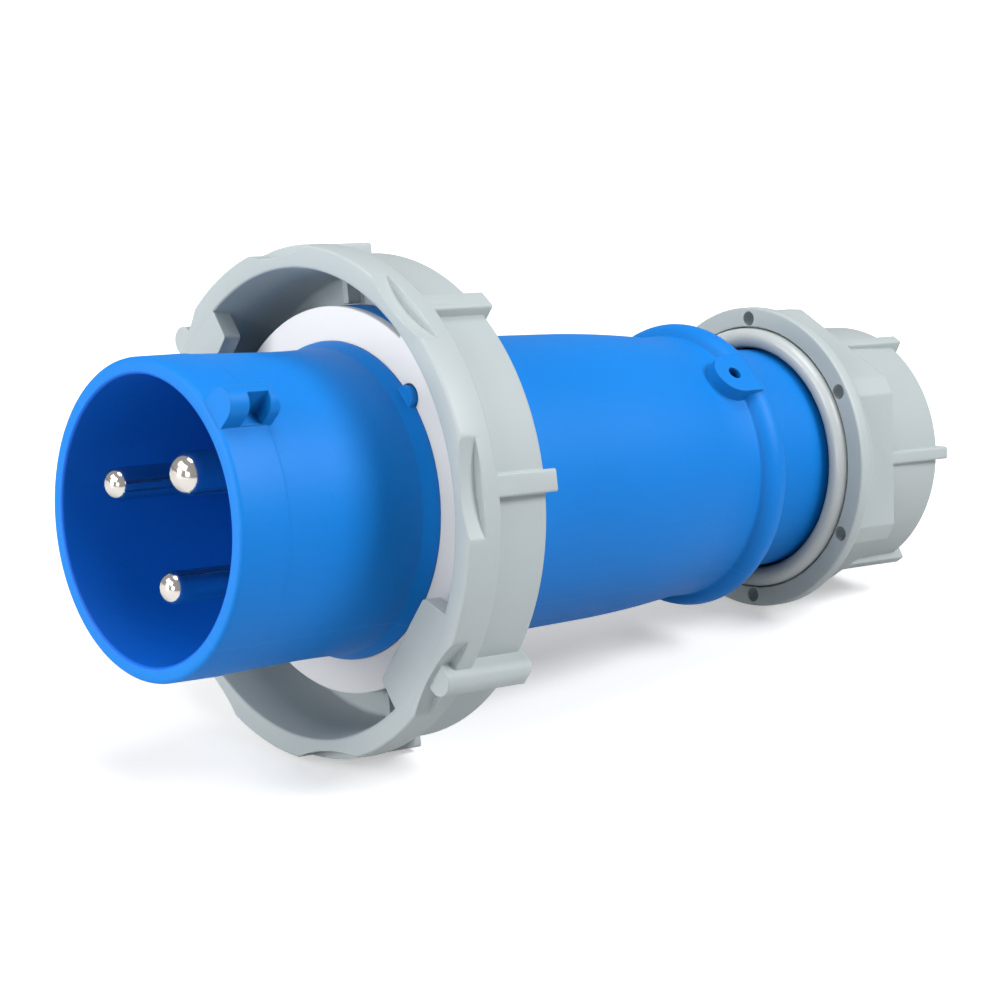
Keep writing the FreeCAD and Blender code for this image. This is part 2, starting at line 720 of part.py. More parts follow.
def wire_pad(body, name, angle):
    low = S["pin_circle"] + S["clamp_pad_low"]
    plan = across(body, name, clamp_station - S["clamp_pad_length"] / 2, angle)
    outline(plan, (
        (low, -(S["clamp_pad_width"] / 2)),
        (low + S["clamp_pad_thick"], -(S["clamp_pad_width"] / 2)),
        (low + S["clamp_pad_thick"], S["clamp_pad_width"] / 2),
        (low, S["clamp_pad_width"] / 2),
    ))
    extrude(body, plan, S["clamp_pad_length"])


screws = new_body("power_terminal_screws")
bodies.append(screws)
wire_screw(screws, "live_screw", live_angle, S["power_radius"])
wire_screw(screws, "neutral_screw", neutral_angle, S["power_radius"])
screws = new_body("earth_terminal_screw")
bodies.append(screws)
wire_screw(screws, "earth_screw", S["key_angle"], S["earth_radius"])
pads = new_body("power_wire_clamps")
bodies.append(pads)
wire_pad(pads, "live_pad", live_angle)
wire_pad(pads, "neutral_pad", neutral_angle)
pads = new_body("earth_wire_clamp")
bodies.append(pads)
wire_pad(pads, "earth_pad", S["key_angle"])

# Plate behind the floor: it traps the collars of the pins and lets their barrels through.
plate = new_body("pin_retainer")
bodies.append(plate)
disc = across(plate, "plate_outline", floor_back)
ring(disc, 0, 0, spigot_bore - S["fit_gap"])
for name, angle, shank, wire in pins:
    away = S["pin_circle"]
    ring(disc, away * cosine(angle), away * sine(angle), shank + S["barrel_rim"] + S["seat_gap"] * 2)
for angle in insert_angles:
    away = S["screw_circle"]
    ring(disc, away * cosine(angle), away * sine(angle), S["insert_screw_radius"] + S["fit_gap"])
for angle in retainer_angles:
    away = S["screw_circle"]
    ring(disc, away * cosine(angle), away * sine(angle), S["retainer_screw_radius"] + S["seat_gap"])
extrude(plate, disc, S["retainer_thick"])

screws = new_body("retainer_screws")
bodies.append(screws)
for number, angle in enumerate(retainer_angles, 1):
    profile = along(screws, "plate_screw_%d" % number, angle, S["screw_circle"])
    outline(profile, (
        (floor_back - S["retainer_screw_bite"] + S["seat_gap"], 0),
        (floor_back - S["retainer_screw_bite"] + S["seat_gap"], S["retainer_screw_radius"]),
        (retainer_back, S["retainer_screw_radius"]),
        (retainer_back, S["retainer_head_radius"]),
        (retainer_back + S["retainer_head_thick"], S["retainer_head_radius"]),
        (retainer_back + S["retainer_head_thick"], 0),
    ))
    turn(screws, profile)

# Long screws from the floor of the mouth into the handle, with a sealing washer under each head.
screws = new_body("insert_screws")
bodies.append(screws)
washers = new_body("insert_screw_seals")
bodies.append(washers)
for number, angle in enumerate(insert_angles, 1):
    profile = along(screws, "long_screw_%d" % number, angle, S["screw_circle"])
    outline(profile, (
        (S["floor_station"] + S["insert_head_sink"], 0),
        (S["floor_station"] + S["insert_head_sink"], S["insert_head_radius"]),
        (head_seat, S["insert_head_radius"]),
        (head_seat, S["insert_screw_radius"]),
        (insert_screw_end, S["insert_screw_radius"]),
        (insert_screw_end, 0),
    ))
    turn(screws, profile)
    profile = along(washers, "screw_seal_%d" % number, angle, S["screw_circle"])
    outline(profile, (
        (head_seat, S["insert_screw_radius"] + S["rubber_gap"]),
        (head_seat, S["insert_head_radius"]),
        (recess_floor, S["insert_head_radius"]),
        (recess_floor, S["insert_screw_radius"] + S["rubber_gap"]),
    ))
    turn(washers, profile)

# O-ring in the groove of the spigot.
seal = new_body("spigot_seal")
bodies.append(seal)
section = along(seal, "seal_section_profile")
ring(section, seal_groove_station + S["seal_section"] + S["seal_room"],
     seal_bottom + S["rubber_gap"] + S["seal_section"], S["seal_section"])
turn(seal, section)

# Face gasket: flat washer with a locating tab at the key and a hole round the nub.
gasket = new_body("face_gasket")
bodies.append(gasket)
profile = along(gasket, "gasket_profile")
outline(profile, (
    (skirt_back, spigot_radius + S["fit_gap"]),
    (skirt_back, skirt_radius + S["rubber_gap"]),
    (gasket_station, skirt_radius + S["rubber_gap"]),
    (gasket_station, gasket_radius),
    (flange_front, gasket_radius),
    (flange_front, spigot_radius + S["fit_gap"]),
))
turn(gasket, profile)
half = S["gasket_tab_angle"]
inner = gasket_radius - 1
tab_radius = gasket_radius + S["gasket_tab_rise"]
tab = across(gasket, "gasket_tab", gasket_station, S["key_angle"])
outline(tab, (
    (inner * cosine(half), -(inner * sine(half))),
    (tab_radius * cosine(half), -(tab_radius * sine(half))),
    Arc(0, 0, 1),
    (tab_radius * cosine(half), tab_radius * sine(half)),
    (inner * cosine(half), inner * sine(half)),
))
extrude(gasket, tab, S["gasket_thick"])
room = across(gasket, "gasket_notch", flange_front, S["key_angle"])
ring(room, nub_centre, 0, S["nub_radius"] + S["fit_gap"])
extrude(gasket, room, S["gasket_thick"], cut=True)

# Handle: flange, seat of the ring with its stops and bead, grip, collar with boss, and neck.
housing = new_body("rear_housing")
bodies.append(housing)
bead_radius = S["ring_seat_radius"] + S["bead_rise"]
swell = S["collar_swell"]
crest = (S["collar_half"] * S["collar_half"] + swell * swell) / (swell * 2)
neck_bore = S["neck_radius"] - S["neck_wall"]
bow_run = grip_rear_station - grip_mid_station
bow_drop = S["grip_mid_radius"] - S["grip_rear_radius"]
bow_middle = (grip_mid_station + grip_rear_station) / 2
bow_height = (S["grip_mid_radius"] + S["grip_rear_radius"]) / 2
bow_centre = bow_height - S["grip_bow"]
grip_bow = Arc(bow_middle - S["grip_bow"] * bow_drop / bow_run, bow_centre, -1)
profile = along(housing, "housing_profile")
outline(profile, (
    (flange_front, 0),
    (flange_front, flange_radius - S["flange_bevel"]),
    (flange_front + S["flange_bevel"], flange_radius),
    (flange_back, flange_radius),
    (flange_back, S["ring_seat_radius"]),
    (ring_back, S["ring_seat_radius"]),
    (ring_back, bead_radius),
    (ring_back + S["bead_width"], bead_radius),
    (grip_front_station, S["grip_front_radius"]),
    (grip_mid_station, S["grip_mid_radius"]),
    grip_bow,
    (grip_rear_station, S["grip_rear_radius"]),
    (collar_foot, S["grip_rear_radius"]),
    Arc(collar_station, collar_radius - crest, -1),
    (collar_back, S["grip_rear_radius"]),
    (collar_back, S["neck_radius"]),
    (neck_end, S["neck_radius"]),
    (neck_end, 0),
))
turn(housing, profile)
cavity_end = boss_station - S["boss_half"]
cavity = along(housing, "housing_cavity")
outline(cavity, (
    (flange_front - 1, 0),
    (flange_front - 1, S["housing_bore"]),
    (spigot_end + S["fit_gap"], S["housing_bore"]),
    (spigot_end + S["fit_gap"], S["grip_front_radius"] - S["grip_wall"] - 1),
    (grip_mid_station, S["grip_mid_radius"] - S["grip_wall"]),
    (cavity_end, S["grip_rear_radius"] - S["grip_wall"]),
    (collar_station + 2, neck_bore),
    (neck_end + 1, neck_bore),
    (neck_end + 1, 0),
))
turn(housing, cavity, cut=True)

stop_top = S["ring_seat_radius"] + S["stop_rise"]
stop_root = S["ring_seat_radius"] - 1
half = S["stop_half_angle"]
stop = across(housing, "turn_stop", flange_back, S["stop_angle"])
outline(stop, (
    (stop_root * cosine(half), -(stop_root * sine(half))),
    (stop_top * cosine(half), -(stop_top * sine(half))),
    Arc(0, 0, 1),
    (stop_top * cosine(half), stop_top * sine(half)),
    (stop_root * cosine(half), stop_root * sine(half)),
))
repeat(housing, extrude(housing, stop, ring_back - flange_back), 2)

boss_root = S["grip_rear_radius"] - S["grip_wall"] / 2
boss = facing(housing, "boss_plan", S["key_angle"], boss_root)
outline(boss, (
    (boss_station, S["boss_half"]),
    Arc(boss_station, 0, 1),
    (boss_station, -S["boss_half"]),
    (collar_station, -S["boss_half"]),
    (collar_station, S["boss_half"]),
))
boss_top = collar_radius + S["boss_rise"]
extrude(housing, boss, boss_top - boss_root)

boss_front = spigot_end + S["fit_gap"] * 2
for number, angle in enumerate(insert_angles, 1):
    half = S["screw_boss_half"]
    plan = across(housing, "screw_boss_%d" % number, boss_front, angle)
    outer = S["grip_front_radius"] - S["grip_wall"] + 0.6
    outline(plan, (
        (S["screw_circle"], half),
        Arc(S["screw_circle"], 0, 1),
        (S["screw_circle"], -half),
        (outer, -half),
        (outer, half),
    ))
    extrude(housing, plan, S["screw_boss_length"])
    hole = across(housing, "screw_boss_hole_%d" % number, insert_screw_end + S["seat_gap"], angle)
    ring(hole, S["screw_circle"], 0, S["insert_screw_radius"] + S["seat_gap"])
    extrude(housing, hole, insert_screw_end - boss_front + 1, cut=True)

hole = facing(housing, "boss_hole", S["key_angle"], boss_top + 1)
ring(hole, boss_station, 0, S["boss_hole_radius"])
extrude(housing, hole, S["boss_hole_depth"] + 1, cut=True)

# Bayonet ring: one moulding that turns on its seat behind the handle's flange.
coupling = new_body("bayonet_ring")
bodies.append(coupling)
band_back = ring_front + S["ring_band_width"]
tab_back = ring_front + S["tab_thick"]
inside_floor = ring_rear - S["ring_flange_thick"]
land_front = flange_back + S["run_gap"]
ring_bore = S["ring_seat_radius"] + S["run_gap"]
profile = along(coupling, "ring_profile")
outline(profile, (
    (ring_front, ring_lip_front),
    (ring_front, S["ring_band_radius"]),
    (band_back, S["ring_band_radius"]),
    (band_back, ring_rear_radius),
    (ring_rear, ring_rear_radius),
    (ring_rear, ring_bore),
    (land_front, ring_bore),
    (land_front, ring_land_radius),
    (inside_floor, ring_land_radius),
    (inside_floor, ring_lip_rear),
    (tab_back + 1.5, ring_lip_mid),
))
turn(coupling, profile)
scallop_floor = ring_front + S["scallop_width"]
scallop = across(coupling, "scallop", scallop_floor, S["ring_phase"])
ring(scallop, S["ring_band_radius"] - S["scallop_depth"] + S["scallop_radius"], 0, S["scallop_radius"])
repeat(coupling, extrude(coupling, scallop, S["scallop_width"] + 1, cut=True), S["ring_count"], cut=True)

rib_root = ring_lip_rear + 1.2
ribs = across(coupling, "rib", band_back - 1, S["ring_phase"] + 360 / S["ring_count"])
outline(ribs, (
    (rib_root, -(S["rib_width"] / 2)),
    (S["ring_band_radius"] - 0.05, -(S["rib_width"] / 2)),
    (S["ring_band_radius"] - 0.05, S["rib_width"] / 2),
    (rib_root, S["rib_width"] / 2),
))
repeat(coupling, extrude(coupling, ribs, ring_rear + S["rib_overhang"] - band_back + 1), S["ring_count"])

lug_top = S["ring_band_radius"] + S["lug_rise"]
lug_bow = lug_top - S["lug_radius"]
lug = across(coupling, "lug", ring_front + S["lug_setback"], S["ring_phase"])
outline(lug, (
    (rib_root, -S["lug_radius"]),
    (lug_bow, -S["lug_radius"]),
    Arc(lug_bow, 0, 1),
    (lug_bow, S["lug_radius"]),
    (rib_root, S["lug_radius"]),
))
lug_length = ring_rear + S["rib_overhang"] - ring_front - S["lug_setback"]
repeat(coupling, extrude(coupling, lug, lug_length), 2)
lug_end = ring_rear + S["rib_overhang"]
shape = along(coupling, "lug_ends")
outline(shape, (
    (lug_end - S["lug_end_round"], lug_top + 1),
    (lug_end - S["lug_end_round"], lug_top),
    Arc(lug_end - S["lug_end_round"], lug_top - S["lug_end_round"], -1),
    (lug_end, lug_top - S["lug_end_round"]),
    (lug_end + 1, lug_top - S["lug_end_round"]),
    (lug_end + 1, lug_top + 1),
))
turn(coupling, shape, cut=True)

half = S["tab_half_angle"]
corner = (ring_lip_front + S["ring_band_radius"]) / 2
tabs = across(coupling, "bayonet_tab", ring_front, S["ring_phase"])
outline(tabs, (
    (tab_distance, -(tab_distance * tangent(half))),
    (corner * cosine(half), -(corner * sine(half))),
    (corner * cosine(half), corner * sine(half)),
    (tab_distance, tab_distance * tangent(half)),
))
repeat(coupling, extrude(coupling, tabs, S["tab_thick"]), 2)

web = across(coupling, "thin_web", inside_floor - S["web_height"], S["web_angle"])
web_root = flange_radius + S["run_gap"]
outline(web, (
    (web_root, -(S["web_width"] / 2)),
    (ring_lip_rear + 1, -(S["web_width"] / 2)),
    (ring_lip_rear + 1, S["web_width"] / 2),
    (web_root, S["web_width"] / 2),
))
repeat(coupling, extrude(coupling, web, S["web_height"] + 0.5), 2)

pocket_r = stop_top + S["run_gap"]
low = -(S["stop_half_angle"] + S["stop_spare_angle"])
high = S["stop_half_angle"] + S["ring_turn_angle"] + S["stop_spare_angle"]
inner = ring_bore - 1.5
room = across(coupling, "stop_room", ring_rear + 1, S["stop_angle"])
outline(room, (
    (inner * cosine(low), inner * sine(low)),
    (pocket_r * cosine(low), pocket_r * sine(low)),
    Arc(0, 0, 1),
    (pocket_r * cosine(high), pocket_r * sine(high)),
    (inner * cosine(high), inner * sine(high)),
))
repeat(coupling, extrude(coupling, room, ring_rear - land_front + 2, cut=True), 2, cut=True)

# Slip ring: round bead between the nut and the neck.
slip = new_body("gland_slip_ring")
bodies.append(slip)
section = along(slip, "slip_section_profile")
ring(section, slip_station, S["slip_radius"], S["slip_section"])
turn(slip, section)
for number, angle in enumerate((S["key_angle"] + 6.3, S["key_angle"] + 73.0), 1):
    cutter = across(slip, "slip_notch_%d" % number, slip_station, angle)
    hollow = S["slip_radius"] - S["slip_section"]
    outline(cutter, (
        (hollow - 1, -(S["slip_notch_width"] / 2)),
        (hollow + S["slip_notch_depth"], -(S["slip_notch_width"] / 2)),
        (hollow + S["slip_notch_depth"], S["slip_notch_width"] / 2),
        (hollow - 1, S["slip_notch_width"] / 2),
    ))
    extrude(slip, cutter, S["slip_section"] + 1, cut=True, reverse=False)

# Gland nut: flange, cone, hexagon with blunted corners, and ribbed cap in one moulding.
nut = new_body("gland_nut")
bodies.append(nut)
nut_front = slip_station
nut_bore = S["neck_radius"] + S["neck_gap"]
seat_depth = S["slip_section"] + S["run_gap"]
cone_end = nut_front + S["nut_flange_thick"] + S["nut_cone_length"]
profile = along(nut, "nut_profile")
outline(profile, (
    (nut_front, S["slip_radius"] + S["slip_section"] + S["run_gap"]),
    (nut_front, S["nut_flange_radius"]),
    (nut_front + S["nut_flange_thick"], S["nut_flange_radius"]),
    (cone_end, S["nut_cone_radius"]),
    (hex_end, S["cap_radius"]),
    (cap_end, S["cap_end_radius"]),
    (cap_end, S["cable_entry_radius"]),
    (end_wall, S["cable_entry_radius"]),
    (end_wall, nut_bore),
    (nut_front + seat_depth, nut_bore),
    (nut_front + seat_depth, S["slip_radius"] + S["slip_section"] + S["run_gap"]),
))
turn(nut, profile)
soften(nut, "cap_edge", S["cap_round"],
       lambda edge: near(reach(edge)[2], cap_end) and near(reach(edge)[0], S["cap_end_radius"]))
blunt = (S["hex_apothem"] / cosine(30) - S["hex_corner"]) * tangent(60)
hexagon = across(nut, "hexagon", nut_front + S["nut_flange_thick"], S["hex_phase"])
corners = []
for flat in range(6):
    side = 30 + 60 * flat
    for sign in (-1, 1):
        x = S["hex_corner"] * cosine(side) - blunt * sign * sine(side)
        y = S["hex_corner"] * sine(side) + blunt * sign * cosine(side)
        corners.append((x, y))
outline(hexagon, corners)
ring(hexagon, 0, 0, S["hex_apothem"] - 2)
extrude(nut, hexagon, hex_end - nut_front - S["nut_flange_thick"])
fin = across(nut, "cap_rib", hex_end - 1, S["hex_phase"])
outline(fin, (
    (nut_bore + 1, -(S["cap_rib_width"] / 2)),
    (S["hex_apothem"], -(S["cap_rib_width"] / 2)),
    (S["hex_apothem"], S["cap_rib_width"] / 2),
    (nut_bore + 1, S["cap_rib_width"] / 2),
))
repeat(nut, extrude(nut, fin, cap_end + S["cap_rib_overhang"] - hex_end + 1), 6)
pit = across(nut, "flange_pit", nut_front, S["hex_phase"] - 30)
ring(pit, S["nut_hole_circle"], 0, S["nut_hole_radius"])
repeat(nut, extrude(nut, pit, S["nut_hole_depth"], cut=True, reverse=True), 6, cut=True)

# Friction washer at the end wall of the nut.
washer = new_body("friction_washer")
bodies.append(washer)
profile = along(washer, "washer_profile")
outline(profile, (
    (end_wall - S["washer_thick"], S["washer_hole"]),
    (end_wall - S["washer_thick"], nut_bore - S["fit_gap"]),
    (end_wall, nut_bore - S["fit_gap"]),
    (end_wall, S["washer_hole"]),
))
turn(washer, profile)

# Clamp cage: sleeve in the neck, flange on its end, and fingers that the nut closes on the cable.
cage = new_body("clamp_cage")
bodies.append(cage)
sleeve = neck_bore - S["fit_gap"]
cage_bore = sleeve - S["cage_wall"]
finger_root = neck_end + S["cage_flange_thick"]
finger_end = finger_root + S["finger_length"]
profile = along(cage, "cage_profile")
outline(profile, (
    (neck_end - S["cage_depth"], cage_bore),
    (neck_end - S["cage_depth"], sleeve),
    (neck_end, sleeve),
    (neck_end, S["cage_flange_radius"]),
    (finger_root, S["cage_flange_radius"]),
    (finger_end, S["finger_end_radius"]),
    (finger_end, cage_bore - 1),
    (finger_root, cage_bore),
))
turn(cage, profile)
gap = across(cage, "finger_gap", finger_end + 1, 0)
outline(gap, (
    (cage_bore - 3, -(S["finger_slot"] / 2)),
    (S["cage_flange_radius"] + 1, -(S["finger_slot"] / 2)),
    (S["cage_flange_radius"] + 1, S["finger_slot"] / 2),
    (cage_bore - 3, S["finger_slot"] / 2),
))
repeat(cage, extrude(cage, gap, S["finger_length"] + 1, cut=True), S["finger_count"], cut=True)

# Cable seal: rubber sleeve in the cage.
grommet = new_body("gland_seal")
bodies.append(grommet)
profile = along(grommet, "grommet_profile")
grommet_radius = cage_bore - 1 - S["rubber_gap"]
outline(profile, (
    (neck_end - S["cage_depth"], S["grommet_hole"]),
    (neck_end - S["cage_depth"], cage_bore - S["rubber_gap"]),
    (finger_root, cage_bore - S["rubber_gap"]),
    (finger_end, grommet_radius),
    (finger_end, S["grommet_hole"]),
))
turn(grommet, profile)

# The plug lies on the ring's front band and on whatever of the nut reaches the floor first:
# the rim of its flange, or a corner of the hexagon at its rear end.
def slope(radius, station):
    return math.atan2(S["ring_band_radius"].value - radius, station - band_back.value)


tilt = slope(S["nut_flange_radius"].value, (nut_front + S["nut_flange_thick"]).value)
for x, y in corners:
    depth = x.value * math.cos(math.radians(S["hex_phase"].value + 90))
    depth = depth - y.value * math.sin(math.radians(S["hex_phase"].value + 90))
    tilt = min(tilt, slope(depth, hex_end.value))
tilt = math.degrees(tilt)
attitude = Placement(Vector(0, 0, 0), Rotation(180.0, tilt, 0.0))
for body in bodies:
    body.Placement = attitude
doc.recompute()

for item in doc.Objects:
    if "Invalid" in item.State or "Error" in item.State:
        raise RuntimeError("%s failed: %s" % (item.Name, item.State))
for body in bodies:
    if body.Shape.isNull() or not body.Shape.isValid():
        raise RuntimeError(body.Label + " has no valid shape")

os.makedirs("parts", exist_ok=True)
for body in bodies:
    body.Shape.exportStep("parts/%s.step" % body.Label)
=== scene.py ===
# %% [markdown]
# # An industrial plug on a white table
#
# A blue pin and sleeve plug lies on a white table and looks at us with its open mouth. It is made of
# a few big mouldings (shroud, handle, bayonet ring, gland nut), three nickel plated pins, a white
# gasket and some small parts inside. The CAD model gives every piece its size and place. Its meshes
# are coarse, so the mouldings that we see are made again here, with round edges and many more steps.

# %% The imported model
import json
import math

import bpy
from mathutils import Matrix, Vector


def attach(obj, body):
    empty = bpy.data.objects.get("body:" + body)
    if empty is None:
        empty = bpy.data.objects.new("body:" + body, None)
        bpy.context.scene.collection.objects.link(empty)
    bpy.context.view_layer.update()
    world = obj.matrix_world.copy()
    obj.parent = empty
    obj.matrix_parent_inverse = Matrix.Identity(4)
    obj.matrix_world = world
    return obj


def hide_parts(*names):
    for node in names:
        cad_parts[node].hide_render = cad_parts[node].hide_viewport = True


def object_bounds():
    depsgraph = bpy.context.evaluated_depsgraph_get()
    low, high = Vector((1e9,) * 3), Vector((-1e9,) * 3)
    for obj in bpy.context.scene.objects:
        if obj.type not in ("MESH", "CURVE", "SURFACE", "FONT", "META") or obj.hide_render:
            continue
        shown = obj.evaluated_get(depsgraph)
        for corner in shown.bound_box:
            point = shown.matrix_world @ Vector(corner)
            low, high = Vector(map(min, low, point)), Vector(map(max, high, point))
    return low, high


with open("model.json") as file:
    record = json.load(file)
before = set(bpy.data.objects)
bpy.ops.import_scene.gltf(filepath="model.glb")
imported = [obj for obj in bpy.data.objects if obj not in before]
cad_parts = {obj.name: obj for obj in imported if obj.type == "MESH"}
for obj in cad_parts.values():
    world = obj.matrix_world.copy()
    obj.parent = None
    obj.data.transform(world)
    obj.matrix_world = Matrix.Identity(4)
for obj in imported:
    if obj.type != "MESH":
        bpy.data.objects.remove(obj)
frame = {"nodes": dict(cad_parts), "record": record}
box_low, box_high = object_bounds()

scene = bpy.context.scene
nodes = frame["nodes"]
print("pieces from the CAD model:", ", ".join(sorted(nodes)))

# %% [markdown]
# ## One axis for everything
#
# All the mouldings are turned about one axis, which rises a little towards the mouth, because the
# plug lies on its big ring and on its smaller gland nut. It is easier to make each piece about the X
# axis, with stations that run from the mouth towards the cable, and to lay it down at the end with
# one matrix. The slope is read from the record, so it can't drift from the CAD model.

# %% From the plug's own axis to the table
MM = 0.001
mouth = [mount for mount in frame["record"]["mounts"] if mount["name"] == "mouth"][0]
slope = math.atan2(mouth["axis"][2], mouth["axis"][0])
lay_down = Matrix.Rotation(math.pi, 4, "Z") @ Matrix.Rotation(slope, 4, "Y")
key_angle = 126.37
lug_angle = 27.47
flat_angle = 49.07
print("the axis rises by %.2f degrees" % math.degrees(slope))


def around(angle):
    """Turn about the plug's axis, from the Y axis towards the Z axis."""
    return Matrix.Rotation(math.radians(angle), 4, "X")


# %% [markdown]
# ## The camera
#
# The photograph was taken with a long lens from a little above the table. The place and the lens
# come from the outlines of shroud, ring and gland, whose real sizes are known.

# %% Camera
eye = bpy.data.cameras.new("camera")
camera = bpy.data.objects.new("camera", eye)
scene.collection.objects.link(camera)
heading, tilt, roll = (math.radians(angle) for angle in (139.559, 70.897, -0.35))
eye.sensor_width = 36.0
eye.lens = 113.3
eye.clip_start = 0.05
eye.clip_end = 20.0
camera.location = (0.28870, 0.43476, 0.18331)
aim = Matrix.Rotation(heading, 3, "Z") @ Matrix.Rotation(tilt, 3, "X")
camera.rotation_euler = (aim @ Matrix.Rotation(roll, 3, "Z")).to_euler()
eye.shift_y = -0.002
scene.camera = camera
scene.view_settings.view_transform = "Standard"
scene.view_settings.look = "None"
print("the camera is %.2f m from the mouth" % camera.location.length)

# %% [markdown]
# ## Drawing with operators
#
# Each moulding begins as one point that is extruded along its outline, corner by corner, as a
# designer draws half a section. The sharp corners are rounded with a vertex bevel while they are
# still corners of a line, and then the line is spun once round. Ribs and lugs are small blocks that
# are joined to it with a boolean, and pockets are cut the same way.

# %% Helpers for operators
def nothing_selected():
    if bpy.context.object and bpy.context.object.mode != "OBJECT":
        bpy.ops.object.mode_set(mode="OBJECT")
    bpy.ops.object.select_all(action="DESELECT")


def pick(piece):
    nothing_selected()
    piece.select_set(True)
    bpy.context.view_layer.objects.active = piece


def choose(piece, spots):
    """Selects only the points at these places of an outline."""
    spots = [Vector((x, y, 0)) * MM for x, y in spots]
    bpy.ops.mesh.select_all(action="DESELECT")
    bpy.ops.object.mode_set(mode="OBJECT")
    for vertex in piece.data.vertices:
        vertex.select = any((vertex.co - spot).length < 1e-6 for spot in spots)
    bpy.ops.object.mode_set(mode="EDIT")


def draw_line(name, corners, rounds=None, closed=True):
    """One point, extruded from corner to corner in the XY plane, in millimetres."""
    rounds = rounds or {}
    nothing_selected()
    first = Vector((corners[0][0], corners[0][1], 0)) * MM
    bpy.ops.mesh.primitive_plane_add(size=MM, location=(0, 0, 0))
    piece = bpy.context.object
    piece.name = name
    piece.data.name = name
    bpy.ops.object.mode_set(mode="EDIT")
    bpy.ops.mesh.select_all(action="SELECT")
    bpy.ops.mesh.merge(type="CENTER")
    bpy.ops.transform.translate(value=first)
    bpy.ops.mesh.select_mode(type="VERT")
    at = first
    for x, y in corners[1:]:
        here = Vector((x, y, 0)) * MM
        bpy.ops.mesh.extrude_region_move(TRANSFORM_OT_translate={"value": here - at})
        at = here
    if closed:
        choose(piece, [corners[0], corners[-1]])
        bpy.ops.mesh.edge_face_add()
    for number, radius in rounds.items():
        choose(piece, [corners[number]])
        bpy.ops.mesh.bevel(offset=radius * MM, offset_type="OFFSET", segments=4, affect="VERTICES")
    bpy.ops.object.mode_set(mode="OBJECT")
    return piece


def clean(piece, apart=2e-6):
    """Merges doubled points and turns all the faces outwards."""
    pick(piece)
    bpy.ops.object.mode_set(mode="EDIT")
    bpy.ops.mesh.select_all(action="SELECT")
    bpy.ops.mesh.remove_doubles(threshold=apart)
    bpy.ops.mesh.normals_make_consistent(inside=False)
    bpy.ops.object.mode_set(mode="OBJECT")


def spun(name, corners, rounds=None, steps=192):
    """A body of revolution about the plug's axis."""
    hollow = corners[0][1] > 0 or corners[-1][1] > 0
    piece = draw_line(name, corners, rounds, closed=hollow)
    bpy.ops.object.mode_set(mode="EDIT")
    bpy.ops.mesh.select_all(action="SELECT")
    bpy.ops.mesh.spin(steps=steps, angle=math.tau, center=(0, 0, 0), axis=(1, 0, 0))
    clean(piece)
    return piece


def pushed(name, outline, start, length, rounds=None, angle=0.0):
    """An outline (outwards, sideways) at a station, extruded along the plug's axis."""
    piece = draw_line(name, outline, rounds)
    pick(piece)
    bpy.ops.object.mode_set(mode="EDIT")
    bpy.ops.mesh.select_all(action="SELECT")
    bpy.ops.mesh.edge_face_add()
    bpy.ops.mesh.extrude_region_move(TRANSFORM_OT_translate={"value": (0, 0, length * MM)})
    bpy.ops.object.mode_set(mode="OBJECT")
    upright = Matrix(((0, 0, 1, 0), (1, 0, 0, 0), (0, 1, 0, 0), (0, 0, 0, 1)))
    piece.matrix_world = around(angle) @ Matrix.Translation((start * MM, 0, 0)) @ upright
    bpy.ops.object.transform_apply(location=True, rotation=True, scale=True)
    clean(piece)
    return piece


def join_in(body, part, operation="UNION"):
    """Joins or cuts part with a boolean, and removes it."""
    pick(body)
    boolean = body.modifiers.new("with", "BOOLEAN")
    boolean.operation = operation
    boolean.solver = "EXACT"
    boolean.object = part
    bpy.ops.object.modifier_apply(modifier=boolean.name)
    bpy.data.objects.remove(part)


def finish_piece(piece, body, replaced, material, sharp=30.0):
    """Lays the piece down on the table and makes it ride with its body."""
    pick(piece)
    piece.matrix_world = lay_down
    bpy.ops.object.transform_apply(location=True, rotation=True, scale=True)
    bpy.ops.object.shade_smooth_by_angle(angle=math.radians(sharp))
    piece.data.materials.clear()
    piece.data.materials.append(material)
    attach(piece, body)
    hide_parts(*replaced)
    faces = sum(len(face.vertices) - 2 for face in piece.data.polygons)
    print("%s: %d triangles" % (piece.name, faces))


def disc_points(x, y, radius, count, start=0.0, turn=360.0):
    """Points on a circle or arc, for outlines with round parts."""
    whole = abs(turn) >= 360.0
    steps = count if whole else count - 1
    return [(x + radius * math.cos(math.radians(start + turn * step / steps)),
             y + radius * math.sin(math.radians(start + turn * step / steps))) for step in range(count)]

# %% [markdown]
# ## Finishes that several pieces share
#
# Moulded plastic is never quite flat. The mould is spark eroded, which leaves a fine grain, the
# surface waves a little where walls change thickness, and edges are slightly round and catch the
# light. One node group gives all of that, with its own values in each material: the Bevel node
# rounds the edges for the light without more faces, and what it changes is also a mask of the edges,
# which the plastics use to paint a highlight along them.

# %% Node helpers
def new_group(name, inputs, outputs):
    group = bpy.data.node_groups.new(name, "ShaderNodeTree")
    for socket, kind, value in inputs:
        group.interface.new_socket(socket, in_out="INPUT", socket_type=kind).default_value = value
    for socket, kind in outputs:
        group.interface.new_socket(socket, in_out="OUTPUT", socket_type=kind)
    entry = group.nodes.new("NodeGroupInput")
    leave = group.nodes.new("NodeGroupOutput")
    return group, entry, leave


def node(tree, kind, **settings):
    made = tree.nodes.new(kind)
    for key, value in settings.items():
        setattr(made, key, value)
    return made


def maths(tree, operation, a, b=None, clamp=False):
    made = node(tree, "ShaderNodeMath", operation=operation, use_clamp=clamp)
    for socket, value in zip(made.inputs, (a, b)):
        if value is None:
            continue
        if isinstance(value, (int, float)):
            socket.default_value = value
        else:
            tree.links.new(value, socket)
    return made.outputs[0]


